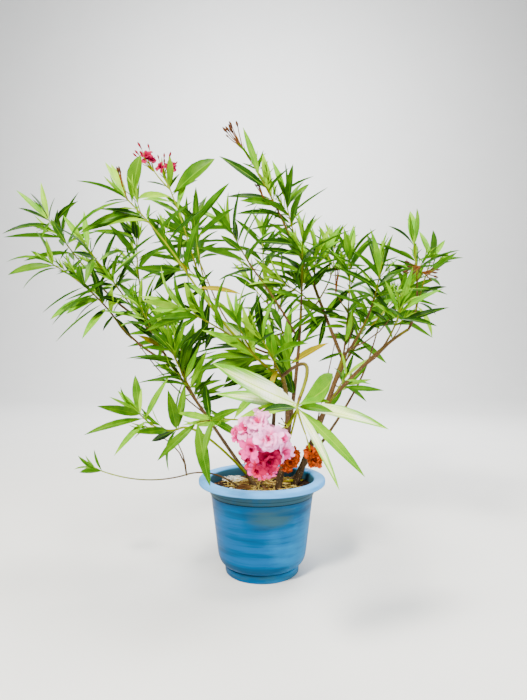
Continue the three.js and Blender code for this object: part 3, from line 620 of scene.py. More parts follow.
        (20, 261, 330, 60, 16, SHADE, 4), (10, 268, 352, 40, 16, FULL, 4), (10, 283, 345, 60, 16, FULL, 4),
        (0, 282, 362, 30, 16, SHADE, 4), (5, 272, 358, 30, 15, SHADE), (35, 300, 325, 50, 15, SHADE),
        (50, 292, 305, 60, 15, FULL, 4), (45, 255, 322, 50, 15, FULL), (35, 288, 318, 40, 20, SUNLIT, 3),
        (25, 280, 331, 30, 16, FULL, 3), (30, 262, 345, 60, 14, SHADE), (15, 268, 372, 30, 14, SHADE),
    )),
    "left_mid_spray": (0, tips(
        (90, 141, 347, -60, 15, FULL, 6), (75, 143, 359, -60, 14, FULL, 6),
        (80, 186, 322, -40, 16, SUNLIT, 4), (65, 152, 366, -20, 13, FULL), (10, 215, 372, 20, 15, SHADE),
        (20, 222, 392, -30, 15, FULL), (20, 212, 380, -60, 17, SHADE, 4), (30, 207, 350, -30, 14, SUNLIT, 3),
        (45, 203, 335, 20, 15, SHADE, 4), (55, 194, 322, 10, 16, FULL, 4),
        (60, 217, 351, 0, 13, SHADE, 6, SLANT), (40, 213, 364, 20, 13, SHADE, 6, SLANT),
        (20, 180, 398, -20, 12, FULL), (30, 222, 380, -30, 14, FULL), (10, 229, 383, 10, 14, FULL),
        (5, 231.5, 394, 20, 14, SHADE), (15, 206.5, 361.5, -40, 13, FULL), (45, 198.5, 346, -50, 14, SUNLIT),
    )),
    "cross_high_spray": (0, tips(
        (75, 184, 281, -290, 20, YOUNG, 4), (80, 150, 311, -260, 20, SUNLIT, 10),
        (70, 154, 324, -250, 16, FULL, 8), (55, 187, 350, -180, 16, SHADE), (45, 205, 350, -170, 18, SHADE),
        (30, 209, 298, -240, 14, FULL, 3), (25, 196, 340, -150, 15, SHADE),
    )),
    "left_back_spray": (0, tips(
        (10, 178, 345, 60, 15, SHADE, 4), (15, 205, 352, 60, 15, SHADE, 4), (20, 195, 328, 80, 16, FULL, 3),
        (5, 213, 360, -40, 14, FULL),
    )),
    "left_fork_spray": (0, tips(
        (30, 127, 320, -20, 15, SHADE), (20, 139, 349, -40, 14, FULL), (15, 150, 322, -30, 15, FULL, 4),
    )),
    "tall_left_spray": (0, tips(
        (0, 304, 341, 40, 13, FULL, 6), (0, 318, 350, 60, 13, SHADE), (10, 343, 318, 20, 17, SHADE, 4),
        (2, 293, 299, 60, 20, FULL, 8), (5, 353, 286, 60, 17, SHADE, 4), (3, 337, 297, 60, 16, SUNLIT, 2),
        (0, 298, 327, 70, 14, FULL, 8), (0, 300, 334, 50, 13, SHADE, 8), (0, 353, 322, 60, 16, FULL, 6),
        (0, 345, 299, 100, 18, SHADE),
    )),
    "tall_low_spray": (0, tips(
        (2, 330, 263, 70, 22, FULL), (5, 281, 271, 70, 20, FULL), (2, 295, 261, 80, 17, SUNLIT),
    )),
    "centre_top_spray": (0, tips(
        (5, 318, 326, 40, 13, FULL, 7), (5, 286, 318, 40, 14, SUNLIT), (10, 322, 300, 30, 14, FULL),
        (90, 255, 242, 20, 16, SHADE, 6), (75, 257, 249, 10, 14, SHADE), (70, 276, 231, 30, 16, FULL, 4),
        (50, 262, 261, 30, 14, FULL, 7), (10, 268, 292, 20, 14, FULL, 8), (30, 272, 274, 20, 15, SHADE),
        (20, 333, 262, 20, 14, SHADE, 4),
    )),
    "cross_side_spray": (0, tips(
        (75, 152, 292, -170, 17, SHADE, 4), (60, 160, 277, -180, 15, FULL, 8),
        (10, 184, 284, -200, 17, SHADE), (20, 214, 270, -180, 15, SHADE), (30, 172, 290, -150, 16, SHADE),
        (50, 205, 280, -200, 17, SUNLIT, 4), (60, 188, 243, -150, 15, FULL, 4),
    )),
}


@dataclass(frozen=True)
class Growth:
    """How whorls of leaves and side twigs follow one another on a stem."""

    leaves: int = 3
    first: float = 6.0
    pitch: float = 15.0
    growth: float = 1.3
    opens: float = 48.0
    grown: float = 40.0
    young: float = 0.7
    lift: float = 0.1
    lost: float = 0.08
    whole: int = 2
    foot: float = 0.03
    turn_swing: float = 0.1
    lean_swing: float = 0.18
    length_swing: float = 0.16
    droop_swing: float = 0.03
    stem_tip: float = 4.4
    stem_thickest: float = 6.0
    stem_on_side: float = 0.7
    stem_follows: float = 0.4
    stem_bend: float = 0.2
    stem_off: float = 0.42
    twig_from: float = 0.1
    twig_span: float = 0.35
    twig_lean: float = 45.0
    twig_lean_swing: float = 8.0
    twig_length: float = 100.0
    twig_length_swing: float = 0.2
    twig_thick: float = 4.4
    twig_rise: float = 0.2
    twig_sag: float = 0.06
    twig_whorls: int = 3
    twig_leaf: float = 0.86

    def back(self, rank: int) -> float:
        """Returns how far a whorl stands from the tip of its stem."""
        return self.first + self.pitch * rank ** self.growth


GROWTH = Growth()


class Chance:
    """Draws even numbers between 0 and 1, the same ones for the same seed."""

    def __init__(self, seed: int) -> None:
        """Args:
            seed: Picks the row of numbers.
        """
        self.state = (seed * 7919 + 12345) % 2147483647
        for _ in range(3):
            self.next()

    def next(self) -> float:
        """Returns the next number."""
        self.state = (self.state * 16807) % 2147483647
        return self.state / 2147483647

    def swing(self, amount: float) -> float:
        """Returns a number between minus and plus an amount."""
        return (self.next() * 2 - 1) * amount

    def between(self, low: float, high: float) -> float:
        """Returns a number between two others."""
        return low + (high - low) * self.next()

    def pick(self, choices: Sequence[Any]) -> Any:
        """Returns one of some choices."""
        return choices[int(self.next() * len(choices)) % len(choices)]


def unit(vectors: np.ndarray) -> np.ndarray:
    """Returns vectors at length one."""
    return vectors / np.linalg.norm(vectors, axis=-1, keepdims=True)


def mix(low: float, high: float, share: float) -> float:
    """Returns the number a share of the way from one to another."""
    return low + (high - low) * share


class Arch:
    """The parabola through two ends and the place half way between them."""

    def __init__(self, start: Iterable[float], by: Iterable[float], end: Iterable[float]) -> None:
        """Args:
            start: One end.
            by: The place half way.
            end: The other end.
        """
        self.start = np.array(tuple(start), float)
        self.end = np.array(tuple(end), float)
        self.lead = 2 * np.array(tuple(by), float) - (self.start + self.end) / 2
        self.chord = self.end - self.start
        self.span = float(np.linalg.norm(self.chord))

    def place(self, share: float | np.ndarray) -> np.ndarray:
        """Returns the places at some shares of the way."""
        t = np.asarray(share, float)[..., None]
        return (1 - t) ** 2 * self.start + 2 * t * (1 - t) * self.lead + t ** 2 * self.end

    def course(self, share: float | np.ndarray) -> np.ndarray:
        """Returns the directions of travel at some shares of the way."""
        t = np.asarray(share, float)[..., None]
        return unit((1 - t) * (self.lead - self.start) + t * (self.end - self.lead))

    @cached_property
    def across(self) -> np.ndarray:
        """The direction square to the whole arch."""
        out = np.cross(self.lead - self.start, self.chord)
        if np.linalg.norm(out) < STRAIGHT * self.span ** 2:
            out = np.cross(self.chord, ASLANT)
        return unit(out)

    @cached_property
    def above(self) -> np.ndarray:
        """The direction square to the chord and to across."""
        return unit(np.cross(self.across, self.chord))

    def outward(self, turn: float) -> np.ndarray:
        """Returns the direction away from the chord at a turn round it."""
        return self.across * math.cos(turn) + self.above * math.sin(turn)


def leaning(course: np.ndarray, out: np.ndarray, lean: float, rise: float = 0.0) -> np.ndarray:
    """Returns the direction that leans outwards from a course by an angle, and rises."""
    return unit(course * math.cos(lean) + out * math.sin(lean) + UP * rise)


def square_to(axis: np.ndarray) -> tuple[np.ndarray, np.ndarray]:
    """Returns two directions square to an axis and to each other."""
    across = unit(np.cross(axis, ASLANT))
    return across, np.cross(axis, across)


def linear(colour: Colour) -> tuple[float, float, float, float]:
    """Returns a screen colour of 0 to 255 as a shader's linear colour."""
    scaled = [channel / 255 for channel in colour]
    red, green, blue = (c / 12.92 if c <= 0.04045 else ((c + 0.055) / 1.055) ** 2.4 for c in scaled)
    return (red, green, blue, 1.0)


class Wire:
    """A node's output, which Python's operators lead on into Math nodes."""

    def __init__(self, bench: "Bench", socket: bpy.types.NodeSocket) -> None:
        """Args:
            bench: The material under construction.
            socket: The output.
        """
        self.bench = bench
        self.socket = socket

    def __add__(self, other: "Wire | float") -> "Wire":
        """Returns the sum."""
        return self.bench.math("ADD", self, other)

    def __sub__(self, other: "Wire | float") -> "Wire":
        """Returns the difference."""
        return self.bench.math("SUBTRACT", self, other)

    def __rsub__(self, other: float) -> "Wire":
        """Returns a number less this wire."""
        return self.bench.math("SUBTRACT", other, self)

    def __mul__(self, other: "Wire | float") -> "Wire":
        """Returns the product."""
        return self.bench.math("MULTIPLY", self, other)

    __radd__ = __add__
    __rmul__ = __mul__

    def step(self, low: float, high: float) -> "Wire":
        """Returns 0 below one value, 1 above another and a smooth rise between them."""
        return self.bench.node(
            "ShaderNodeMapRange", {"interpolation_type": "SMOOTHSTEP"},
            {"Value": self, "From Min": low, "From Max": high},
        )

    def near(self, value: float, reach: float) -> "Wire":
        """Returns 1 at a value and 0 further from it than a reach."""
        return 1 - self.bench.math("ABSOLUTE", self - value).step(0.0, reach)


class Bench:
    """A material's nodes under construction."""

    shine = 0.06

    def __init__(self, name: str) -> None:
        """Args:
            name: The material's name.
        """
        self.material = bpy.data.materials.new(name)
        self.material.use_nodes = True
        self.tree = self.material.node_tree
        self.tree.nodes.clear()

    def node(self, kind: str, settings: dict[str, Any], sockets: dict[str | int, Any],
             output: str | int = 0) -> Wire:
        """Makes a node.

        Args:
            kind: The node's type.
            settings: Its own settings, which are set first.
            sockets: Values or wires for its inputs.
            output: The output that is wanted.

        Returns:
            That output.
        """
        made = self.tree.nodes.new(kind)
        for name, value in settings.items():
            setattr(made, name, value)
        for name, value in sockets.items():
            if isinstance(value, Wire):
                self.tree.links.new(value.socket, made.inputs[name])
            else:
                made.inputs[name].default_value = value
        return Wire(self, made.outputs[output])

    def math(self, operation: str, *values: "Wire | float") -> Wire:
        """Returns what a Math node makes of some values."""
        return self.node("ShaderNodeMath", {"operation": operation}, dict(enumerate(values)))

    def place(self, scale: Place = (1, 1, 1)) -> Wire:
        """Returns the object's own coordinates, stretched by a scale."""
        own = self.node("ShaderNodeTexCoord", {}, {}, "Object")
        return self.node("ShaderNodeMapping", {}, {"Vector": own, "Scale": scale})

    def unbent(self, scale: Place = (1, 1, 1)) -> Wire:
        """Returns the coordinates on a pressed shape before it was bent, stretched by a scale."""
        flat = self.node("ShaderNodeAttribute", {"attribute_name": "unbent"}, {}, "Vector")
        return self.node("ShaderNodeMapping", {}, {"Vector": flat, "Scale": scale})

    def noise(self, scale: float, detail: float = 3.0, where: Wire | None = None) -> Wire:
        """Returns cloudy noise around one half, over the object's own coordinates or others."""
        sockets = {"Vector": where or self.place(), "Scale": scale, "Detail": detail, "Roughness": 0.55}
        return self.node("ShaderNodeTexNoise", {}, sockets, "Fac")

    def cells(self, scale: float, where: Wire | None = None) -> Wire:
        """Returns the distance to the nearest of many scattered points."""
        sockets = {"Vector": where or self.place(), "Scale": scale}
        return self.node("ShaderNodeTexVoronoi", {}, sockets, "Distance")

    def attribute(self, name: str) -> Wire:
        """Returns a number that the mesh carries."""
        return self.node("ShaderNodeAttribute", {"attribute_name": name}, {}, "Fac")

    def split(self, vector: Wire) -> tuple[Wire, Wire, Wire]:
        """Returns the X, Y and Z of a vector."""
        return tuple(self.node("ShaderNodeSeparateXYZ", {}, {"Vector": vector}, axis) for axis in "XYZ")

    def blend(self, share: Wire, low: "Colour | Wire", high: "Colour | Wire") -> Wire:
        """Returns a colour between two, by a share."""
        ends = [end if isinstance(end, Wire) else linear(end) for end in (low, high)]
        return self.node("ShaderNodeMix", {"data_type": "RGBA"}, {0: share, 6: ends[0], 7: ends[1]}, 2)

    def bump(self, height: Wire, distance: float, strength: float = 1.0) -> Wire:
        """Returns the normals of a surface that stands out by a height times a distance in metres."""
        return self.node("ShaderNodeBump", {}, {"Height": height, "Distance": distance, "Strength": strength})

    def finish(self, **sockets: Any) -> bpy.types.Material:
        """Closes the material with a surface shader.

        Args:
            sockets: The shader's inputs, with _ for a space.

        Returns:
            The material.
        """
        named = {name.replace("_", " "): value for name, value in sockets.items()}
        shader = self.node("ShaderNodeBsdfPrincipled", {}, {"Specular IOR Level": self.shine} | named)
        output = self.tree.nodes.new("ShaderNodeOutputMaterial")
        self.tree.links.new(shader.socket, output.inputs["Surface"])
        return self.material


@dataclass(frozen=True)
class LeafSkin:
    """The skin of a leaf: mottled, with fine side veins, paler towards its foot."""

    name: str
    colour: Colour
    other: Colour
    vein: Colour
    roughness: float = 0.36
    tip: float = 0.0
    edge: float = 0.0
    veins: float = 30.0

    def material(self) -> bpy.types.Material:
        """Returns the finish as a material."""
        bench = Bench(self.name)
        side, along, _ = bench.split(bench.unbent())
        slant = along * self.veins - bench.math("ABSOLUTE", side) * 1.6
        vein = bench.math("PINGPONG", slant, 0.5).step(0.36, 0.5)
        patches = bench.noise(26.0, 2.0).step(0.32, 0.68)
        body = bench.blend(patches, self.colour, self.other)
        body = bench.blend(vein * 0.22, body, self.vein)
        ends = (1 - along.step(0.0, 0.3)) * 0.4 * (1 - self.edge) + along.step(0.8, 0.97) * self.tip
        if self.edge:
            half = 1.04 - (along - 0.45) * (along - 0.45) * 3.4
            outward = bench.math("DIVIDE", bench.math("ABSOLUTE", side), bench.math("MAXIMUM", half, 0.05))
            streaks = bench.noise(1.0, 2.0, bench.unbent((9, 1.6, 1)))
            ends = ends + (along * 1.4 + outward * 0.9 + (streaks - 0.5) * 1.6).step(0.85, 1.7) * self.edge
        fine = bench.noise(420.0, 1.0)
        return bench.finish(
            Base_Color=bench.blend(ends, body, self.vein),
            Roughness=fine * 0.14 + (self.roughness - 0.07),
            Normal=bench.bump(fine * 0.4 - vein * 0.6, 0.0004),
        )


@dataclass(frozen=True)
class PetalSkin:
    """A petal: deeper at its foot, paler at its edge, with fine streaks along it."""

    name: str
    foot: Colour
    edge: Colour

    def material(self) -> bpy.types.Material:
        """Returns the finish as a material."""
        bench = Bench(self.name)
        _, along, _ = bench.split(bench.unbent())
        streaks = bench.noise(1.0, 2.0, bench.unbent((9, 1.2, 1)))
        clouds = bench.noise(90.0, 2.0)
        share = (along + streaks * 0.5 - 0.3 + (clouds - 0.5) * 0.5).step(0.1, 0.8)
        return bench.finish(
            Base_Color=bench.blend(share, self.foot, self.edge),
            Roughness=streaks * 0.2 + 0.45,
            Normal=bench.bump(streaks, 0.0004),
        )


@dataclass(frozen=True)
class Bark:
    """Smooth bark from grey-brown on old wood through red-brown to yellow-green on young."""

    old: Colour = (86, 66, 42)
    dark: Colour = (44, 32, 22)
    red: Colour = (86, 62, 34)
    olive: Colour = (94, 94, 4)
    fresh: Colour = (124, 140, 0)
    pore: Colour = (170, 144, 104)

    def material(self) -> bpy.types.Material:
        """Returns the finish as a material."""
        bench = Bench("bark")
        youth = bench.attribute("youth") + (bench.noise(30.0) - 0.5) * 0.3
        blotches = bench.noise(80.0, 4.0, bench.unbent((1, 1, 0.3))).step(0.35, 0.68)
        pores = 1 - bench.cells(330.0, bench.unbent((1, 1, 0.5))).step(0.14, 0.3)
        cracks = bench.noise(300.0, 4.0, bench.unbent((1, 1, 0.14)))
        wood = bench.blend(blotches * (1 - youth), self.old, self.dark)
        skin = bench.blend(youth.step(0.15, 0.45), wood, self.red)
        skin = bench.blend(youth.step(0.42, 0.68), skin, self.olive)
        skin = bench.blend(youth.step(0.66, 0.95), skin, self.fresh)
        return bench.finish(
            Base_Color=bench.blend(pores * (0.5 - youth * 0.4), skin, self.pore),
            Roughness=0.84 - youth * 0.34,
            Normal=bench.bump(cracks * (1.1 - youth) + pores * 0.4, 0.0012),
        )


@dataclass(frozen=True)
class PotPlastic:
    """Blue plastic, lighter towards the right: a chalky rim, streaked walls, a green-grey stain under the
    rim, and painted shade under the rim, in its grooves and as a shadow line low on the stain.
    """

    deep: Colour = (0, 66, 104)
    mid: Colour = (0, 88, 144)
    # The paler blue that the walls turn towards the right, also mixed into the chalky rim
    faded: Colour = (0, 122, 174)
    chalk: Colour = (90, 168, 236)
    # The stain colour also paints the shade under the rim
    stain_and_rim_shade: Colour = (44, 76, 84)
    grime: Colour = (56, 82, 72)
    # Painted shade: its colour, also used for a shadow line, and the height, reach and strength of each dark
    # line in the grooves
    painted_shade: Colour = (8, 34, 44)
    painted_shades: tuple[Place, ...] = ((0.2072, 0.0032, 0.9), (0.2165, 0.0018, 0.6), (0.0215, 0.0024, 0.7))

    def material(self) -> bpy.types.Material:
        """Returns the finish as a material."""
        bench = Bench("pot_plastic")
        x, y, z = bench.split(bench.place())
        streaks = bench.noise(8.0, 5.0, bench.place((0.3, 0.3, 4.5)))
        scuffs = bench.noise(42.0, 5.0, bench.place((0.4, 0.4, 2.0)))
        clouds = bench.noise(7.0, 3.0)
        wall = bench.blend(streaks.step(0.36, 0.62), self.deep, self.mid)
        # The walls grow lighter towards the right (+X), broken up by clouds, scuffs and streaks
        lighter_right = (x * 5.0 + (clouds - 0.5) * 1.6 + (scuffs - 0.5) + (streaks - 0.5) * 1.2).step(0.05, 0.95)
        wall = bench.blend(lighter_right * 0.8, wall, self.faded)
        foot = 1 - z.step(0.0, 0.06)
        wall = bench.blend(foot * scuffs.step(0.42, 0.7) * 0.55, wall, self.grime)
        front = 1 - y.step(-0.06, 0.0)
        patch = x.near(0.03, 0.12) * z.near(0.18, 0.05) * front
        smears = (patch * 1.6 + (streaks - 0.5) * 4.4 + (scuffs - 0.5) * 1.6).step(0.2, 1.5)
        wall = bench.blend(smears * patch.step(0.0, 0.5) * 0.9, wall, self.stain_and_rim_shade)
        # Painted shadow: a dark line low across the stain, on the front
        shadow_line = x.near(0.01, 0.09) * z.near(0.15, 0.013) * front * (streaks + scuffs).step(0.7, 1.3)
        wall = bench.blend(shadow_line * 0.6, wall, self.painted_shade)
        # Painted shade: the band under the rolled rim is darkened in patches with the stain colour
        collar = z.step(0.2, 0.211) * bench.noise(12.0, 4.0).step(0.2, 0.45)
        wall = bench.blend(collar * 0.9, wall, self.stain_and_rim_shade)
        # Painted shade: dark lines in the grooves under the rim and at the foot
        for height, reach, share in self.painted_shades:
            wall = bench.blend(z.near(height, reach) * share, wall, self.painted_shade)
        radius = bench.math("SQRT", x * x + y * y)
        lip = z.step(0.2335, 0.2375) * radius.step(0.1385, 0.1425)
        chalky = bench.blend(scuffs.step(0.4, 0.8) * 0.4, self.chalk, self.faded)
        return bench.finish(
            Base_Color=bench.blend(lip, wall, chalky),
            Roughness=scuffs * 0.3 + 0.26 + lip * 0.12,
            Normal=bench.bump(scuffs + streaks, 0.0006),
        )


@dataclass(frozen=True)
class Earth:
    """Loose earth or litter of two colours, rough and crumbly."""

    name: str
    colour: Colour
    other: Colour
    grain: float = 160.0
    relief: float = 0.0015

    def material(self) -> bpy.types.Material:
        """Returns the finish as a material."""
        bench = Bench(self.name)
        crumbs = bench.noise(self.grain, 6.0)
        return bench.finish(
            Base_Color=bench.blend(crumbs.step(0.36, 0.64), self.colour, self.other),
            Roughness=0.95,
            Normal=bench.bump(crumbs, self.relief),
        )


@dataclass(frozen=True)
class LeafLook:
    """The colours of a leaf's upper side and veins, and which underside and midrib go with it."""

    upper: tuple[Colour, Colour]
    vein: Colour
    back: str
    rib: str
    roughness: float = 0.34
    tip: float = 0.0
    edge: float = 0.0


LEAF_LOOKS = {
    # One green with painted shade, in between, and with painted sunlight
    Tint.SHADE: LeafLook(((12, 46, 0), (28, 64, 0)), (60, 112, 4), "back_green", "rib_deep"),
    Tint.FULL: LeafLook(((42, 92, 0), (78, 122, 0)), (104, 160, 10), "back_green", "rib_deep"),
    Tint.SUNLIT: LeafLook(((80, 148, 0), (114, 170, 0)), (150, 196, 16), "back_green", "rib_green"),
    Tint.YOUNG: LeafLook(((120, 178, 0), (148, 198, 6)), (178, 212, 40), "back_pale", "rib_green"),
    # Painted sun glare: white standing in for sunlight on a green leaf, whose vein colour keeps its edge and
    # tip green
    Tint.PALE: LeafLook(
        ((238, 252, 170), (255, 255, 236)), (104, 172, 0), "back_pale", "rib_pale", tip=1.0, edge=1.0,
    ),
    Tint.YELLOW: LeafLook(((130, 120, 0), (146, 130, 0)), (132, 122, 0), "back_yellow", "back_yellow", 0.8),
    Tint.DRY: LeafLook(((110, 74, 36), (76, 48, 26)), (124, 90, 50), "back_dry", "back_dry", 0.8),
}
LEAF_BACKS = {
    "back_green": ((48, 100, 2), (72, 124, 10)),
    "back_pale": ((120, 176, 10), (148, 194, 30)),
    "back_yellow": ((168, 152, 0), (184, 156, 0)),
    "back_dry": ((168, 130, 80), (130, 94, 56)),
    "rib_deep": ((86, 136, 8), (104, 150, 16)),
    "rib_green": ((136, 176, 20), (150, 188, 36)),
    "rib_pale": ((196, 226, 80), (214, 236, 110)),
}


class LeafFinishes:
    """All leaf materials, in the order of their slots."""

    def __init__(self) -> None:
        """Makes the materials."""
        self.slots: dict[str, int] = {}
        self.materials: list[bpy.types.Material] = []
        for tint, look in LEAF_LOOKS.items():
            name = f"leaf_{tint.value}"
            self.add(LeafSkin(name, *look.upper, look.vein, look.roughness, look.tip, look.edge))
        for name, colours in LEAF_BACKS.items():
            self.add(LeafSkin(name, *colours, colours[0], roughness=0.6))

    def add(self, finish: LeafSkin) -> None:
        """Puts a finish into the next slot."""
        self.slots[finish.name] = len(self.materials)
        self.materials.append(finish.material())

    def of(self, tint: Tint) -> tuple[int, int, int]:
        """Returns the slots of a leaf's upper side, underside and midrib."""
        look = LEAF_LOOKS[tint]
        return self.slots[f"leaf_{tint.value}"], self.slots[look.back], self.slots[look.rib]


def mesh_of(shape: bmesh.types.BMesh, name: str) -> bpy.types.Mesh:
    """Returns a shape under construction as a mesh, and frees the shape."""
    mesh = bpy.data.meshes.new(name)
    shape.to_mesh(mesh)
    shape.free()
    return mesh


def turned(outline: Iterable[Pair], turns: int, merge: float) -> bmesh.types.BMesh:
    """Turns an outline round the Z axis.

    Args:
        outline: Radii and heights, from the axis and back to it.
        turns: The number of sides.
        merge: Corners nearer to each other become one.

    Returns:
        The closed shape, under construction.
    """
    bm = bmesh.new()
    verts = [bm.verts.new((radius, 0, z)) for radius, z in outline]
    edges = [bm.edges.new(pair) for pair in zip(verts, verts[1:])]
    bmesh.ops.spin(
        bm, geom=verts + edges, cent=(0, 0, 0), axis=(0, 0, 1), angle=2 * math.pi, steps=turns, use_merge=True
    )
    bmesh.ops.remove_doubles(bm, verts=bm.verts[:], dist=merge)
    return bm


@dataclass
class Mould:
    """A small shape that is pressed many times: corners, faces and the kind of each face."""

    corners: np.ndarray
    loops: np.ndarray
    starts: np.ndarray
    kinds: np.ndarray

    @classmethod
    def of(cls, shape: bmesh.types.BMesh) -> "Mould":
        """Takes a mould from a mesh under construction, which is freed.

        Args:
            shape: The mesh.

        Returns:
            The mould.
        """
        mesh = mesh_of(shape, "mould")
        corners = np.empty(len(mesh.vertices) * 3)
        loops = np.empty(len(mesh.loops), np.int32)
        starts = np.empty(len(mesh.polygons), np.int32)
        kinds = np.empty(len(mesh.polygons), np.int32)
        mesh.vertices.foreach_get("co", corners)
        mesh.loops.foreach_get("vertex_index", loops)
        mesh.polygons.foreach_get("loop_start", starts)
        mesh.polygons.foreach_get("material_index", kinds)
        bpy.data.meshes.remove(mesh)
        return cls(corners.reshape(-1, 3), loops, starts, kinds)


@dataclass(frozen=True)
class Outline:
    """The outline of a leaf or petal: half widths along its length, and what its middle does."""

    stations: tuple[Pair, ...]
    strips: int = 3
    rib: float = 0.0
    ruffle: float = 0.0
    waves: float = 3.0
    thick: float = 0.06

    def mould(self) -> Mould:
        """Returns the outline as a thin closed sheet: X in half widths, Y along it from 0 to 1."""
        bm = bmesh.new()
        rows = len(self.stations) - 1
        bmesh.ops.create_grid(bm, x_segments=self.strips, y_segments=rows, size=1.0)
        for vert in bm.verts:
            share, wide = self.stations[round((vert.co.y + 1) / 2 * rows)]
            side = vert.co.x
            if self.rib and abs(side) < 0.9:
                reach = math.copysign(min(self.rib * (1 - 0.6 * share), 0.5 * wide), side)
            else:
                reach = side * wide
            wave = self.ruffle * share ** 2 * math.sin(self.waves * math.pi * side)
            vert.co = (reach, share, wave)
        for face in bm.faces:
            face.material_index = 2 if self.rib and abs(face.calc_center_median().x) < 1e-4 else 0
        copy = bmesh.ops.duplicate(bm, geom=bm.verts[:] + bm.edges[:] + bm.faces[:])["geom"]
        faces = [item for item in copy if isinstance(item, bmesh.types.BMFace)]
        bmesh.ops.reverse_faces(bm, faces=faces)
        for face in faces:
            face.material_index = max(face.material_index, 1)
        for vert in (item for item in copy if isinstance(item, bmesh.types.BMVert)):
            if not vert.is_boundary:
                vert.co.z -= self.thick
        bmesh.ops.remove_doubles(bm, verts=bm.verts[:], dist=1e-6)
        return Mould.of(bm)


def rod_mould(sides: int, steps: int) -> Mould:
    """Makes a closed tube of radius 1 whose Z runs from 0 to 1.

    Args:
        sides: The number of its sides.
        steps: Into how many lengths it is cut.

    Returns:
        The tube.
    """
    bm = bmesh.new()
    bmesh.ops.create_cone(bm, cap_ends=True, segments=sides, radius1=1, radius2=1, depth=1)
    uprights = [edge for edge in bm.edges if abs(edge.verts[0].co.z - edge.verts[1].co.z) > 0.5]
    if steps > 1:
        bmesh.ops.subdivide_edges(bm, edges=uprights, cuts=steps - 1)
    bmesh.ops.translate(bm, verts=bm.verts[:], vec=(0, 0, 0.5))
    return Mould.of(bm)


def ball_mould(rings: int, shape: Sequence[Pair], twist: float) -> Mould:
    """Makes a closed drop whose radius goes by its height.

    Args:
        rings: The number of sides round it and of rings up it.
        shape: Heights from -1 to 1 and the radius at each.
        twist: How far the top is turned against the bottom.

    Returns:
        The drop.
    """
    bm = bmesh.new()
    bmesh.ops.create_uvsphere(bm, u_segments=rings, v_segments=rings, radius=1)
    heights, radii = zip(*shape)
    for vert in bm.verts:
        flat = math.hypot(vert.co.x, vert.co.y)
        if flat > 1e-4:
            turn = math.atan2(vert.co.y, vert.co.x) + twist * vert.co.z
            radius = float(np.interp(vert.co.z, heights, radii))
            vert.co.x, vert.co.y = radius * math.cos(turn), radius * math.sin(turn)
    return Mould.of(bm)


class Heap:
    """Many pressed shapes that become one joined mesh."""

    def __init__(self, name: str, materials: list[bpy.types.Material]) -> None:
        """Args:
            name: The piece's name.
            materials: Its material slots.
        """
        self.name = name
        self.materials = materials
        self.corners: list[np.ndarray] = []
        self.loops: list[np.ndarray] = []
        self.starts: list[np.ndarray] = []
        self.slots: list[np.ndarray] = []
        self.unbent: list[np.ndarray] = []
        self.youth: list[np.ndarray] = []
        self.count = [0, 0]

    def add(self, mould: Mould, corners: np.ndarray, slots: np.ndarray, size: Place = (1, 1, 1),
            youth: Pair = (0, 0)) -> None:
        """Adds one pressing or many of a mould.

        Args:
            mould: The shape.
            corners: The places of its corners in millimetres, one layer for each pressing.
            slots: For each pressing, the material slot of each kind of face.
            size: The size of the shape before it was bent, which its material is drawn in.
            youth: How young its bark is at Z 0 and 1.
        """
        places = corners.reshape(-1, len(mould.corners), 3)
        steps = np.arange(len(places))[:, None]
        self.corners.append(places.reshape(-1, 3))
        self.unbent.append(np.tile(mould.corners * size, (len(places), 1)))
        self.youth.append(np.tile(mix(*youth, mould.corners[:, 2]), len(places)))
        self.loops.append((mould.loops + steps * len(mould.corners) + self.count[0]).ravel())
        self.starts.append((mould.starts + steps * len(mould.loops) + self.count[1]).ravel())
        self.slots.append(np.asarray(slots).reshape(len(places), -1)[:, mould.kinds].ravel())
        self.count[0] += places.shape[0] * places.shape[1]
        self.count[1] += len(places) * len(mould.loops)

    def rod(self, mould: Mould, arch: Arch, thick: Pair, slot: int = 0,
            youth: Pair = (0, 0), relief: np.ndarray | float = 1.0) -> None:
        """Adds a tube laid along an arch.

        Args:
            mould: The tube.
            arch: Its course.
            thick: Its thickness at both ends.
            slot: Its material slot.
            youth: How young its bark is at both ends.
            relief: What the radius is multiplied by at each corner.
        """
        radius = sum(thick) / 4 * MM
        size = (radius, radius, arch.span * MM)
        self.add(mould, press_rod(mould, arch, thick, relief), [[slot]], size, youth)

    def piece(self, crease: float = 60.0) -> bpy.types.Object:
        """Makes the object.

        Args:
            crease: Edges that bend by more degrees stay sharp.

        Returns:
            The object, linked to the scene.
        """
        mesh = bpy.data.meshes.new(self.name)
        parts = self.corners, self.loops, self.starts, self.slots
        corners, loops, starts, slots = map(np.concatenate, parts)
        mesh.vertices.add(len(corners))
        mesh.vertices.foreach_set("co", (corners * MM).ravel())
        mesh.loops.add(len(loops))
        mesh.loops.foreach_set("vertex_index", loops.astype(np.int32))
        mesh.polygons.add(len(starts))
        mesh.polygons.foreach_set("loop_start", starts.astype(np.int32))
        mesh.polygons.foreach_set("material_index", slots.astype(np.int32))
        mesh.update(calc_edges=True)
        mesh.validate()
        unbent = mesh.attributes.new("unbent", "FLOAT_VECTOR", "POINT")
        unbent.data.foreach_set("vector", np.concatenate(self.unbent).ravel())
        youth = mesh.attributes.new("youth", "FLOAT", "POINT")
        youth.data.foreach_set("value", np.concatenate(self.youth))
        return show(mesh, self.materials, crease)


def placed(name: str, data: bpy.types.ID) -> bpy.types.Object:
    """Returns a new object that is linked to the scene."""
    thing = bpy.data.objects.new(name, data)
    bpy.context.scene.collection.objects.link(thing)
    return thing


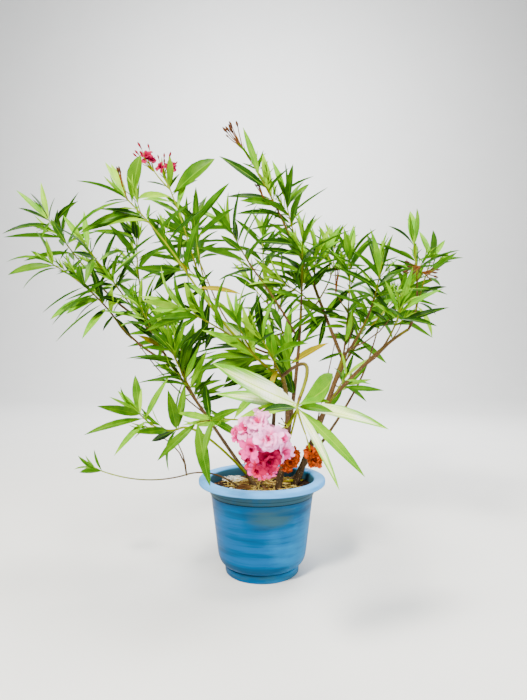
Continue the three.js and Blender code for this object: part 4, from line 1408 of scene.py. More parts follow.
def show(mesh: bpy.types.Mesh, materials: list[bpy.types.Material], crease: float) -> bpy.types.Object:
    """Links a finished mesh to the scene as a piece that rides on the root.

    Args:
        mesh: The mesh, in its place.
        materials: Its material slots.
        crease: Edges that bend by more degrees stay sharp.

    Returns:
        The new object.
    """
    for material in materials:
        mesh.materials.append(material)
    mesh.shade_smooth()
    mesh.set_sharp_from_angle(angle=math.radians(crease))
    piece = placed(mesh.name, mesh)
    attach(piece, "root")
    log.info("%s: %d faces", mesh.name, len(mesh.polygons))
    return piece


@dataclass
class Leaf:
    """One leaf or petal: its midline, the way it faces and its form."""

    base: np.ndarray
    tip: np.ndarray
    side: np.ndarray
    top: np.ndarray
    width: float
    tint: Tint = Tint.FULL
    bow: float = 0.06
    fold: float = 0.3
    twist: float = 0.0
    blunt: float = 0.0
    named: bool = False


def leaf_at(base: np.ndarray, heading: np.ndarray, towards: np.ndarray, length: float, width: float,
            droop: float) -> Leaf:
    """Makes a leaf that leaves a twig in a direction.

    Args:
        base: Where it leaves.
        heading: The direction of its midline.
        towards: What its upper side turns to.
        length: From base to tip.
        width: At its widest.
        droop: How far the tip hangs, as a share of the length.

    Returns:
        The leaf.
    """
    side = unit(np.cross(heading, towards))
    top = unit(np.cross(side, heading))
    flat = math.sqrt(max(0.0, 1 - heading[2] ** 2))
    tip = base + heading * length - UP * droop * length * flat
    return Leaf(base, tip, side, top, width)


def press_leaves(mould: Mould, leaves: Sequence[Leaf]) -> np.ndarray:
    """Bends a sheet to each of some leaves.

    Args:
        mould: The sheet.
        leaves: The leaves or petals.

    Returns:
        The corners, one layer for each leaf.
    """
    def rows(name: str) -> np.ndarray:
        """Returns one field of all leaves, ready to meet all corners."""
        return np.array([getattr(leaf, name) for leaf in leaves], float).reshape(len(leaves), 1, -1)

    x, t, z = (mould.corners[None, :, [axis]] for axis in range(3))
    base, tip, side, top = map(rows, ("base", "tip", "side", "top"))
    half = rows("width") / 2 * (1 + rows("blunt") * (t - BLUNT_FROM) * BLUNT_GAIN)
    length = np.linalg.norm(tip - base, axis=-1, keepdims=True)
    lead = (base + tip) / 2 + top * rows("bow") * length * 2
    place = (1 - t) ** 2 * base + 2 * t * (1 - t) * lead + t ** 2 * tip
    course = unit((1 - t) * (lead - base) + t * (tip - lead) + 0 * x)
    out = np.cross(side + 0 * course, course)
    turn = rows("twist") * t
    across = side * np.cos(turn) + out * np.sin(turn)
    over = out * np.cos(turn) - side * np.sin(turn)
    return place + across * x * half + over * (z + rows("fold") * np.abs(x)) * half


def press_rod(mould: Mould, arch: Arch, thick: Pair, relief: np.ndarray | float) -> np.ndarray:
    """Lays a tube along an arch.

    Args:
        mould: The tube.
        arch: Its course.
        thick: Its thickness at both ends.
        relief: What the radius is multiplied by at each corner.

    Returns:
        The corners.
    """
    t = mould.corners[:, 2]
    radius = (mix(*thick, t) / 2 * relief)[:, None]
    across = arch.across
    up = unit(np.cross(across, arch.course(t)))
    return arch.place(t) + across * mould.corners[:, [0]] * radius + up * mould.corners[:, [1]] * radius


def press_ball(mould: Mould, centre: np.ndarray, axis: np.ndarray, size: float, height: float) -> np.ndarray:
    """Returns the corners of a drop that stands at a place along an axis."""
    across, up = square_to(axis)
    x, y, z = (mould.corners[:, [column]] for column in range(3))
    return centre + (across * x + up * y) * size / 2 + axis * z * height / 2


@dataclass
class Limb:
    """One grown cane or bough."""

    arch: Arch
    thick: Pair
    name: str = ""
    youth: Pair = (0.0, 1.0)

    def radius(self, share: float | np.ndarray) -> float | np.ndarray:
        """Returns the radius at a share of the length."""
        return mix(*self.thick, np.minimum(share, 1)) / 2


@dataclass
class Limbs:
    """All canes and boughs, with bark."""

    bark: bpy.types.Material
    sides: int = 18
    ring_step: float = 3.2
    buried: float = 12.0
    flare: float = 0.3
    flare_height: float = 22.0
    knot_gap: Pair = (26.0, 44.0)
    knot_swell: float = 0.13
    knot_width: float = 2.6
    scar_width: float = 0.45
    scar_share: float = 0.65
    lump: float = 0.05
    lumps_apart: float = 0.09
    lump_reach: Place = (6, 6, 0)
    # How young the bark is at both ends, and what thicknesses are multiplied by
    cane_age: Pair = (-0.1, 0.58)
    bough_age: Pair = (0.3, 0.6)
    ages: dict[str, Pair] = field(default_factory=lambda: {
        "crossing_bough": (0.66, 1), "bud_bough": (0.6, 0.9), "flower_bough": (0.25, 0.8),
        "low_bough": (0.8, 1),
    })
    slim_cane: float = 0.88
    slimmer: dict[str, float] = field(default_factory=lambda: {
        "left_cane": 0.72, "runner_cane": 0.7, "crossing_bough": 0.76, "bud_bough": 0.85,
    })
    grown: dict[str, Limb] = field(default_factory=dict)

    def grow(self) -> None:
        """Works out the course of every limb from its plan."""
        for name, plan in (CANES | BOUGHS).items():
            if name in CANES:
                root, slim, age = (*plan.foot, SOIL_TOP - self.buried), self.slim_cane, self.cane_age
            else:
                root, slim, age = self.grown[plan.on].arch.place(plan.at), 1.0, self.bough_age
            slim = self.slimmer.get(name, slim)
            thick = (plan.thick[0] * slim, plan.thick[1] * slim)
            self.grown[name] = Limb(Arch(root, plan.by, plan.to), thick, name, self.ages.get(name, age))

    def samples(self) -> tuple[np.ndarray, np.ndarray]:
        """Returns places along all limbs and the radius at each."""
        shares = np.linspace(0, 1, 120)
        places = [limb.arch.place(shares) for limb in self.grown.values()]
        radii = [limb.radius(shares) for limb in self.grown.values()]
        return np.concatenate(places), np.concatenate(radii)

    def relief(self, limb: Limb, mould: Mould, seed: int) -> np.ndarray:
        """Shapes a limb's surface: flared foot, ringed knots with leaf scars, small lumps.

        Args:
            limb: The cane or bough.
            mould: Its tube.
            seed: Draws where the knots are.

        Returns:
            What the radius is multiplied by at each corner.
        """
        chance = Chance(seed)
        t = mould.corners[:, 2]
        along = t * limb.arch.span
        turn = np.arctan2(mould.corners[:, 1], mould.corners[:, 0])
        swell = np.ones(len(t))
        knot = chance.between(*self.knot_gap)
        while knot < limb.arch.span:
            ring = np.exp(-((along - knot) / self.knot_width) ** 2)
            scars = sum(self.scar(turn, chance.next() * 2 * math.pi + k * 2 * math.pi / 3) for k in range(3))
            swell += self.knot_swell * ring * (1 - self.scar_share + self.scar_share * scars)
            knot += chance.between(*self.knot_gap)
        places = limb.arch.place(t) + mould.corners * self.lump_reach
        swell += [self.lump * noise.noise(Vector(place * self.lumps_apart)) for place in places]
        if limb.name in CANES:
            above = np.maximum(along - self.buried, 0)
            swell += self.flare * np.exp(-above / self.flare_height)
        return swell

    def scar(self, turn: np.ndarray, middle: float) -> np.ndarray:
        """Returns how much a leaf scar stands out round a knot."""
        away = np.angle(np.exp(1j * (turn - middle)))
        return np.exp(-(away / self.scar_width) ** 2)

    def dress(self) -> None:
        """Builds each limb's bark and puts it in the place of its node."""
        for seed, limb in enumerate(self.grown.values(), 11):
            mould = rod_mould(self.sides, max(8, round(limb.arch.span / self.ring_step)))
            heap = Heap(f"{limb.name}_bark", [self.bark])
            heap.rod(mould, limb.arch, limb.thick, 0, limb.youth, self.relief(limb, mould, seed))
            piece = heap.piece(80.0)
            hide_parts(limb.name)


@dataclass
class Spray:
    """One spray under construction: its stem, its twigs and its leaves."""

    name: str
    plan: SprayPlan
    arch: Arch
    thick: float
    leaves: list[Leaf] = field(default_factory=list)
    twigs: list[tuple[Arch, Pair]] = field(default_factory=list)


@dataclass
class Foliage:
    """All sprays: stems, twigs, small shoots and leaves, joined by region."""

    limbs: Limbs
    finishes: LeafFinishes
    sprays: list[Spray] = field(default_factory=list)
    cores: np.ndarray = field(init=False)
    core_radii: np.ndarray = field(init=False)
    outline: Outline = Outline(
        (
            (0, 0.09), (0.05, 0.12), (0.14, 0.5), (0.28, 0.86), (0.45, 1), (0.62, 0.9), (0.78, 0.62),
            (0.9, 0.32), (1, 0.02),
        ),
        rib=0.07,
    )
    # The width of leaves against the rule's, and of picked leaves against their plans
    slim: float = 0.82
    ample: float = 1.06
    # How far picked leaves may turn, and the most that they reach along the viewer's sight against across it
    sway: float = 0.3
    deepest: float = 1.1
    # The cosine from which a leaf points straight at the viewer, and the least gap between leaves and limbs
    end_on: float = 0.88
    gap: float = 1.5
    # The shares of leaves with painted sunlight, and of leaves with painted shade and young ones
    sun: tuple[tuple[Region, float], ...] = ((L, 0.34), (M, 0.42), (R, 0.42), (B, 0.32))
    shade_from: float = 0.68
    young: float = 0.5
    young_tips: float = 0.6
    bows: Pair = (0.0, 0.08)
    folds: Pair = (0.3, 0.75)
    own_folds: Pair = (0.15, 0.5)
    twist: float = 0.4
    # The small leaves that close a tip: where they start, their lean, length, width, fold and number
    tip_from: float = 0.995
    tip_lean: Pair = (4, 18)
    tip_length: Pair = (0.34, 0.66)
    tip_wide: float = 0.115
    tip_fold: float = 0.8
    tip_turn: float = 0.6
    tip_count: int = 5
    tip_count_picked: int = 3
    # Small shoots: where they start, how many are missing, and their form
    shoot_from: float = 0.12
    shoots_lost: float = 0.26
    shoots_lost_right: float = 0.45
    shoot_lean: Pair = (28, 42)
    shoot_length: Pair = (14, 42)
    shoot_long: float = 28.0
    shoot_thick: Pair = (2.6, 1.8)
    shoot_leaf: Pair = (52, 84)
    shoot_tip_leaf: float = 1.3
    # Bark and form of the fine wood
    twig_youth: Pair = (0.75, 1.1)
    bit_youth: Pair = (0.2, 0.45)
    bit_thick: Pair = (4.6, 2.8)
    whorl_swell: float = 0.22
    whorl_width: float = 3.0

    def stem(self, parent: Limb, plan: SprayPlan) -> Arch:
        """Draws the course of a spray's stem, which carries on from its limb and turns to its tip.

        Args:
            parent: The limb that carries it.
            plan: The spray's plan.

        Returns:
            The course.
        """
        along = parent.arch.course(min(plan.at, 1))
        side = plan.at < 1
        root = parent.arch.place(plan.at) + along * (0 if side else GROWTH.stem_off)
        tip = np.array(plan.to, float)
        chord = tip - root
        lead = unit(unit(chord) * (1 - GROWTH.stem_follows) + along * GROWTH.stem_follows) if side else along
        by = (root + tip) / 2 + (lead * np.linalg.norm(chord) - chord) * GROWTH.stem_bend
        return Arch(root, by, tip)

    def whorls(self, chance: Chance, dye: Chance, arch: Arch, roll: float, plan: SprayPlan, count: int,
               scale: float, first: int = 0) -> list[Leaf]:
        """Grows whorls of three leaves up a stem, each turned half a step from the last.

        Args:
            chance: Draws the forms, in the same order as the solids.
            dye: Draws the colours.
            arch: The stem.
            roll: The turn of the first leaf.
            plan: The spray's plan.
            count: The number of whorls.
            scale: What the leaf length is multiplied by.
            first: The first rank from the tip that grows.

        Returns:
            The leaves.
        """
        leaves = []
        for rank in range(count):
            back = GROWTH.back(rank)
            share = 1 - back / arch.span
            age = 1 - math.exp(-back / GROWTH.opens)
            for place in range(GROWTH.leaves):
                turn = roll + math.pi * (rank / 3 + 2 * place / 3) + chance.swing(GROWTH.turn_swing)
                lean = math.radians(mix(plan.shut, plan.open, age)) + chance.swing(GROWTH.lean_swing)
                grown = mix(GROWTH.young, 1, min(1, back / GROWTH.grown))
                grown *= 1 + chance.swing(GROWTH.length_swing)
                droop = plan.droop * age + chance.swing(GROWTH.droop_swing)
                lost = chance.next() < GROWTH.lost and rank >= GROWTH.whole
                if share <= GROWTH.foot or lost or rank < first:
                    continue
                base, towards = arch.place(share), arch.course(share)
                heading = leaning(towards, arch.outward(turn), lean, GROWTH.lift)
                if heading @ unit(VIEWER - base) > self.end_on:
                    continue
                length = plan.leaf * scale * grown
                leaf = leaf_at(base, heading, towards, length, length * plan.wide * self.slim, droop)
                leaves.append(self.dyed(leaf, dye, rank, plan.region))
        return leaves

    def dyed(self, leaf: Leaf, dye: Chance, rank: int, region: Region) -> Leaf:
        """Gives a leaf its colour, bow, fold and twist by chance and by age.

        Args:
            leaf: The leaf.
            dye: Draws them.
            rank: How many whorls are younger.
            region: The part of the crown that it is in.

        Returns:
            The same leaf.
        """
        # The tints deal out painted sunlight and painted shade, with its own share of sunlit leaves for each
        # region
        sunlit = dict(self.sun)[region]
        draw = dye.next()
        if rank == 0:
            leaf.tint = Tint.YOUNG if draw < self.young else Tint.SUNLIT
        elif draw < sunlit:
            leaf.tint = Tint.SUNLIT
        else:
            leaf.tint = Tint.SHADE if draw > self.shade_from else Tint.FULL
        leaf.bow = dye.between(*self.bows)
        leaf.fold = dye.between(*self.folds)
        leaf.twist = dye.swing(self.twist)
        return leaf

    def own(self, arch: Arch, plans: Iterable[LeafPlan], dye: Chance, sway: float) -> list[Leaf]:
        """Grows leaves that are named one by one.

        Args:
            arch: Their stem.
            plans: The leaves.
            dye: Draws what the plans leave open.
            sway: How far they may turn from what they face.

        Returns:
            The leaves.
        """
        leaves = []
        for item in plans:
            base = arch.place(item.at)
            reach = np.array(item.to, float) - base
            if sway:
                reach = self.eased(base, reach)
            length = float(np.linalg.norm(reach))
            face = np.array(item.face, float) + (dye.swing(sway), 0, dye.swing(sway))
            width = length * item.wide * (self.ample if sway else 1)
            leaf = leaf_at(base, reach / length, face, length, width, 0)
            leaf.tint, leaf.bow, leaf.blunt, leaf.named = item.tint, item.bow, item.blunt, True
            leaf.fold, leaf.twist = dye.between(*self.own_folds), dye.swing(sway)
            leaves.append(leaf)
        return leaves

    def eased(self, base: np.ndarray, reach: np.ndarray) -> np.ndarray:
        """Returns a leaf's reach, drawn in along the viewer's sight where it is seen end-on."""
        sight = unit(base + reach - VIEWER)
        depth = float(reach @ sight)
        most = self.deepest * float(np.linalg.norm(reach - sight * depth))
        return reach - sight * (depth - max(-most, min(most, depth)))

    def side_twig(self, chance: Chance, parent: Arch, index: int, plan: SprayPlan) -> Arch:
        """Grows a side twig.

        Args:
            chance: Draws its form, in the same order as the solids.
            parent: The stem that it leaves.
            index: Which twig it is.
            plan: The spray's plan.

        Returns:
            Its course.
        """
        share = GROWTH.twig_from + GROWTH.twig_span * (index + 0.5 * chance.next()) / plan.twigs
        turn = chance.next() * 2 * math.pi
        lean = math.radians(GROWTH.twig_lean + chance.swing(GROWTH.twig_lean_swing))
        length = GROWTH.twig_length * (1 + chance.swing(GROWTH.twig_length_swing))
        heading = leaning(parent.course(share), parent.outward(turn), lean, GROWTH.twig_rise)
        root = parent.place(share)
        tip = root + heading * length
        return Arch(root, (root + tip) / 2 - UP * GROWTH.twig_sag * length, tip)

    def tip_leaves(self, dye: Chance, arch: Arch, roll: float, leaf: float, count: int) -> list[Leaf]:
        """Grows the small upright leaves that close a growing tip.

        Args:
            dye: Draws their forms and colours.
            arch: The stem.
            roll: The turn of the first leaf.
            leaf: How long the leaves of the spray grow.
            count: How many there are.

        Returns:
            The leaves.
        """
        course = arch.course(1.0)
        leaves = []
        for place in range(count):
            out = arch.outward(roll + place * GOLDEN_TURN)
            heading = leaning(course, out, math.radians(dye.between(*self.tip_lean)))
            length = leaf * dye.between(*self.tip_length)
            made = leaf_at(arch.place(self.tip_from), heading, course, length, length * self.tip_wide, 0)
            made.tint = Tint.YOUNG if dye.next() < self.young_tips else Tint.SUNLIT
            made.fold = self.tip_fold
            leaves.append(made)
        return leaves

    def shoots(self, spray: Spray, roll: float) -> None:
        """Adds the small leafy shoots that grow in the angle between a stem and its leaves.

        Args:
            spray: The spray, which gets them.
            roll: The turn of its first whorl.
        """
        plan = spray.plan
        dye = Chance(plan.seed + 900)
        lost = self.shoots_lost_right if plan.region is R else self.shoots_lost
        for rank in range(2, plan.whorls):
            share = 1 - GROWTH.back(rank) / spray.arch.span
            if share < self.shoot_from or dye.next() < lost:
                continue
            turn = roll + math.pi * rank / 3 + dye.pick((0, 1, 2)) * 2 * math.pi / 3
            lean = math.radians(dye.between(*self.shoot_lean))
            heading = leaning(spray.arch.course(share), spray.arch.outward(turn), lean)
            root = spray.arch.place(share)
            length = dye.between(*self.shoot_length)
            arch = Arch(root, root + heading * length * 0.5, root + heading * length)
            spray.twigs.append((arch, self.shoot_thick))
            leaf = dye.between(*self.shoot_leaf)
            spray.leaves += self.tip_leaves(dye, arch, turn, leaf * self.shoot_tip_leaf, self.tip_count)
            small = SprayPlan("", (0, 0, 0), 0, plan.region, leaf=leaf, wide=0.16, open=70)
            count = 2 if length > self.shoot_long else 1
            spray.leaves += self.whorls(dye, dye, arch, turn, small, count, 1.0)

    def clear(self, leaf: Leaf) -> bool:
        """Tests whether a leaf passes all limbs without cutting them, or is named.

        Args:
            leaf: The leaf.

        Returns:
            Whether it stays.
        """
        if leaf.named:
            return True
        shares = np.linspace(0.12, 1, 8)[:, None]
        places = leaf.base + (leaf.tip - leaf.base) * shares
        gaps = np.linalg.norm(places[:, None] - self.cores[None], axis=-1) - self.core_radii
        return bool(gaps.min() > self.gap)

    def grow(self) -> None:
        """Plans every spray by the rule that the solids follow, and carries it on to finer shoots."""
        self.cores, self.core_radii = self.limbs.samples()
        for name, plan in SPRAYS.items():
            chance, dye = Chance(plan.seed), Chance(plan.seed + 300)
            parent = self.limbs.grown[plan.on]
            arch = self.stem(parent, plan)
            share = GROWTH.stem_on_side if plan.at < 1 else 1
            thick = min(2 * float(parent.radius(plan.at)) * share, GROWTH.stem_thickest)
            spray = Spray(name, plan, arch, thick)
            roll = chance.next() * 2 * math.pi
            first, picks = PICKED.get(name, (0, ()))
            picked = [pick.plan(arch, plan.leaf) if isinstance(pick, Whole) else pick for pick in picks]
            spray.leaves += self.own(arch, plan.own, dye, 0.0) + self.own(arch, picked, dye, self.sway)
            spray.leaves += self.whorls(chance, dye, arch, roll, plan, plan.whorls, 1.0, first)
            if plan.whorls > 2:
                count = self.tip_count_picked if picked else self.tip_count
                spray.leaves += self.tip_leaves(dye, arch, roll + self.tip_turn, plan.leaf, count)
                self.shoots(spray, roll)
            for index in range(plan.twigs):
                twig = self.side_twig(chance, arch, index, plan)
                turn = chance.next() * 2 * math.pi
                spray.twigs.append((twig, (GROWTH.twig_thick, GROWTH.stem_tip * 0.8)))
                spray.leaves += self.whorls(
                    chance, dye, twig, turn, plan, GROWTH.twig_whorls, GROWTH.twig_leaf
                )
                spray.leaves += self.tip_leaves(dye, twig, turn + self.tip_turn, plan.leaf, self.tip_count)
            spray.leaves = [leaf for leaf in spray.leaves if self.clear(leaf)]
            self.sprays.append(spray)

    def stem_relief(self, spray: Spray, mould: Mould) -> np.ndarray:
        """Works out the swelling of a stem at each whorl.

        Args:
            spray: The spray of the stem.
            mould: The tube that is pressed along it.

        Returns:
            What each corner's distance from the stem's middle is multiplied by.
        """
        along = (1 - mould.corners[:, 2]) * spray.arch.span
        swell = np.ones(len(along))
        for rank in range(max(spray.plan.whorls, 4)):
            swell += self.whorl_swell * np.exp(-((along - GROWTH.back(rank)) / self.whorl_width) ** 2)
        return swell

    def dress(self) -> None:
        """Builds the leaves and the twigs of each region."""
        sheet = self.outline.mould()
        tube, thin = rod_mould(8, 26), rod_mould(5, 4)
        for region in Region:
            sprays = [spray for spray in self.sprays if spray.plan.region is region]
            leaves = [leaf for spray in sprays for leaf in spray.leaves]
            heap = Heap(f"{region.value}_leaves", self.finishes.materials)
            heap.add(sheet, press_leaves(sheet, leaves), [self.finishes.of(leaf.tint) for leaf in leaves])
            piece = heap.piece()
            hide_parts(*(spray.name for spray in sprays))
            wood = Heap(f"{region.value}_twigs", [self.limbs.bark])
            for spray in sprays:
                thick, youth = (spray.thick, GROWTH.stem_tip * 0.7), (spray.plan.youth, self.twig_youth[1])
                wood.rod(tube, spray.arch, thick, 0, youth, self.stem_relief(spray, tube))
                for arch, thick in spray.twigs:
                    wood.rod(thin, arch, thick, 0, self.twig_youth)
                for bit in spray.plan.bits:
                    wood.rod(thin, Arch(*bit), self.bit_thick, 0, self.bit_youth)
            wood.piece()
            log.info("%s: %d leaves", region.value, len(leaves))


def spread(axis: np.ndarray, count: int, cone: float) -> list[np.ndarray]:
    """Spreads directions evenly over a cone.

    Args:
        axis: The middle of the cone.
        count: How many directions there are.
        cone: The angle from its middle to its edge, in degrees.

    Returns:
        The directions.
    """
    across, up = square_to(axis)
    made = []
    for i in range(count):
        tilt = math.acos(1 - (i + 0.5) / count * (1 - math.cos(math.radians(cone))))
        turn = i * GOLDEN_TURN
        flat = across * math.cos(turn) + up * math.sin(turn)
        made.append(axis * math.cos(tilt) + flat * math.sin(tilt))
    return made


@dataclass(frozen=True)
class PetalRing:
    """One ring of petals: how many, their reach and width in bloom radii, and their tilt."""

    count: int
    reach: float
    width: float
    tilt: float
    bow: float


@dataclass
class Blossom:
    """Double blooms, faded blooms and buds on their stalks."""

    foliage: Foliage
    heap: Heap = field(init=False)
    tube: Mould = field(init=False)
    bud: Mould = field(init=False)
    rings: tuple[PetalRing, ...] = (
        PetalRing(5, 1.12, 0.98, 82, 0.13), PetalRing(5, 0.98, 0.86, 64, 0.12),
        PetalRing(5, 0.78, 0.7, 42, 0.08), PetalRing(4, 0.56, 0.5, 18, 0.03),
    )
    petal: Outline = Outline(
        ((0, 0.12), (0.25, 0.36), (0.5, 0.74), (0.72, 0.98), (0.9, 0.94), (1, 0.6)),
        strips=4, ruffle=0.26, thick=0.03,
    )
    wilted: Outline = Outline(
        ((0, 0.12), (0.25, 0.4), (0.5, 0.7), (0.75, 0.8), (1, 0.4)),
        strips=4, ruffle=0.5, waves=2.3, thick=0.05,
    )
    # How petals differ: their turn, tilt, reach, fold and twist
    turns: float = 0.2
    tilts: float = 17.0
    reaches: Pair = (0.84, 1.14)
    folds: Pair = (0.1, 0.4)
    twists: float = 0.5
    # How buds differ in place and size, and the size under which they are dry
    buds_apart: Pair = (0.7, 1.1)
    dry_under: float = 8.0
    # How thick stalks are: to a hub with blooms or without, to a fork and a bud, green or dry, and to a bloom
    to_hub: Pair = (4.4, 3.2)
    to_fork: Pair = (2.8, 4.2)
    to_bud: Pair = (2.1, 3.6)
    to_bloom: float = 1.8
    # Where a bud's stalk forks and how far it is lifted there, how much the bud leans to the axis, its shape
    fork_at: float = 0.45
    fork_lift: float = 3.0
    bud_lean: float = 0.3
    bud_shape: Pair = (0.46, 1.4)
    seed: int = 4242

    def finishes(self) -> list[bpy.types.Material]:
        """Returns the petal, bud and stalk materials in the order of their slots."""
        colours = (
            ("petal_light", (244, 96, 170), (255, 172, 224)), ("petal_mid", (222, 30, 120), (242, 74, 162)),
            ("petal_deep", (120, 0, 32), (170, 0, 66)), ("petal_coral", (176, 0, 44), (222, 20, 84)),
            ("petal_faded", (140, 36, 0), (180, 70, 8)), ("petal_brown", (84, 30, 10), (134, 56, 12)),
            ("bud_red", (92, 0, 18), (136, 0, 34)), ("bud_dry", (40, 14, 14), (84, 50, 26)),
            ("flower_stalk", (140, 150, 4), (160, 116, 8)), ("stalk_dry", (104, 60, 22), (136, 92, 34)),
        )
        return [PetalSkin(*item).material() for item in colours]

    def bloom(self, mould: Mould, centre: np.ndarray, axis: np.ndarray, size: float, slots: Sequence[int],
              chance: Chance) -> None:
        """Adds one bloom.

        Args:
            mould: The petal.
            centre: The bloom's centre.
            axis: The way it faces.
            size: From side to side.
            slots: The colours from the outer ring to the inner.
            chance: Draws how petals differ.
        """
        across, up = square_to(axis)
        start = chance.next() * 2 * math.pi
        petals, dyes = [], []
        for layer, ring in enumerate(self.rings):
            for place in range(ring.count):
                turn = start + 2 * math.pi * (place + 0.5 * layer) / ring.count + chance.swing(self.turns)
                tilt = math.radians(ring.tilt + chance.swing(self.tilts))
                out = across * math.cos(turn) + up * math.sin(turn)
                heading = leaning(axis, out, tilt)
                reach = size / 2 * ring.reach * chance.between(*self.reaches)
                petal = leaf_at(centre - axis * size * 0.16, heading, axis, reach, size / 2 * ring.width, 0)
                petal.bow = ring.bow
                petal.fold, petal.twist = chance.between(*self.folds), chance.swing(self.twists)
                petals.append(petal)
                dyes.append((slots[layer],) * 2)
        self.heap.add(mould, press_leaves(mould, petals), dyes)

    def stalk(self, start: np.ndarray, end: np.ndarray, thick: float, dry: bool) -> None:
        """Adds a stalk that sags a little."""
        middle = (start + end) / 2 - UP * 0.05 * float(np.linalg.norm(end - start))
        self.heap.rod(self.tube, Arch(start, middle, end), (thick, thick * 0.7), 9 if dry else 8)

    def buds(self, head: HeadPlan, middle: np.ndarray, axis: np.ndarray, chance: Chance) -> None:
        """Adds the buds of a head, each on its own stalk, which leave the hub two by two.

        Args:
            head: The plan of the head.
            middle: Its middle.
            axis: Where it faces.
            chance: Draws how the buds differ.
        """
        hub = np.array(head.hub, float)
        for out in spread(axis, head.buds, head.cone):
            centre = middle + out * head.spread * chance.between(*self.buds_apart)
            fork = hub + (centre - hub) * self.fork_at + axis * self.fork_lift
            self.stalk(hub, fork, self.to_fork[head.dry], head.dry)
            self.stalk(fork, centre, self.to_bud[head.dry], head.dry)
            way = unit(unit(centre - fork) + axis * self.bud_lean)
            size = head.size * chance.between(*self.buds_apart)
            slot = 7 if head.dry or size < self.dry_under else 6
            wide, long = self.bud_shape
            drop = press_ball(self.bud, centre + way * size / 2, way, size * wide, size * long)
            self.heap.add(self.bud, drop, [[slot]])

    def dress(self) -> None:
        """Builds every flower head as one joined piece."""
        self.heap = Heap("blossom", self.finishes())
        self.tube = rod_mould(6, 4)
        self.bud = ball_mould(8, ((-1, 0.3), (-0.4, 0.5), (0.1, 1), (0.6, 0.7), (1, 0)), twist=0.9)
        petal, wilted = self.petal.mould(), self.wilted.mould()
        chance = Chance(self.seed)
        for spray in self.foliage.sprays:
            for head in spray.plan.heads:
                hub, middle = np.array(head.hub, float), np.array(head.to, float)
                self.stalk(spray.arch.place(head.at), hub, self.to_hub[not head.blooms], head.dry)
                self.buds(head, middle, unit(middle - hub), chance)
                for plan in head.blooms:
                    centre, faded = np.array(plan.at, float), plan.look is Look.FADED
                    axis = unit(np.array(plan.face, float))
                    self.stalk(hub, centre - axis * plan.size * 0.25, self.to_bloom, False)
                    self.bloom(wilted if faded else petal, centre, axis, plan.size, plan.look.value, chance)
        self.heap.piece()


@dataclass
class Pot:
    """The round pot, turned from its outline, with a rolled rim, a grooved collar and a stepped foot."""

    turns: int = 128
    # Radii, heights and how far each edge is rounded
    outline: tuple[tuple[float, float, float], ...] = (
        (0, 0, 0), (97, 0, 1.6), (98.4, 3, 0), (99.6, 20, 0.8), (98.8, 21.2, 0), (98.8, 23, 0.8),
        (103.5, 24.4, 2.4), (112, 33, 5), (117, 46, 6), (119, 60, 0), (136.6, 203, 0), (137.2, 206, 0.7),
        (135.9, 207.2, 0.6), (139.4, 208.6, 1), (141, 233, 0), (141.2, 244, 1.2), (166, 245, 1.4),
        (166, 235.4, 1), (167.2, 234.2, 0.9), (169, 234.2, 1.6), (169.9, 240, 0), (169.6, 247.2, 2.6),
        (163, 249.9, 2.5), (150, 249.6, 2), (143, 248.4, 3), (138.4, 243, 3), (136.8, 232, 0),
        (135.2, 208, 0), (132.6, 203, 0), (115, 60, 0), (94, 22, 0), (92, 6, 0), (0, 6, 0),
    )

    def dress(self) -> None:
        """Builds the pot and puts it in the place of its node."""
        bm = turned([(radius * MM, z * MM) for radius, z, _ in self.outline], self.turns, 1e-6)
        for radius, z, ease in self.outline:
            if ease:
                self.round_off(bm, radius * MM, z * MM, ease * MM)
        bmesh.ops.recalc_face_normals(bm, faces=bm.faces[:])
        piece = show(mesh_of(bm, "flower_pot"), [PotPlastic().material()], 50.0)
        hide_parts("pot")

    def round_off(self, bm: bmesh.types.BMesh, radius: float, z: float, ease: float) -> None:
        """Rounds one ring of edges of the pot.

        Args:
            bm: The pot, under construction.
            radius: The radius of the ring.
            z: Its height.
            ease: How far it is rounded.
        """
        def on_ring(vert: bmesh.types.BMVert) -> bool:
            """Returns whether a corner lies on the ring."""
            return abs(vert.co.z - z) < 1e-5 and abs(vert.co.to_2d().length - radius) < 1e-5

        ring = [edge for edge in bm.edges if all(on_ring(vert) for vert in edge.verts)]
        bmesh.ops.bevel(bm, geom=ring, offset=ease, segments=3, profile=0.5, affect="EDGES", material=-1)


@dataclass(frozen=True)
class Sticks:
    """Thin pieces of one kind on the earth: how many, how far from their heart, and their sizes."""

    count: int
    reach: float
    length: Pair
    thick: Pair
    slot: int
    heart: Place = (0, 0, 0)


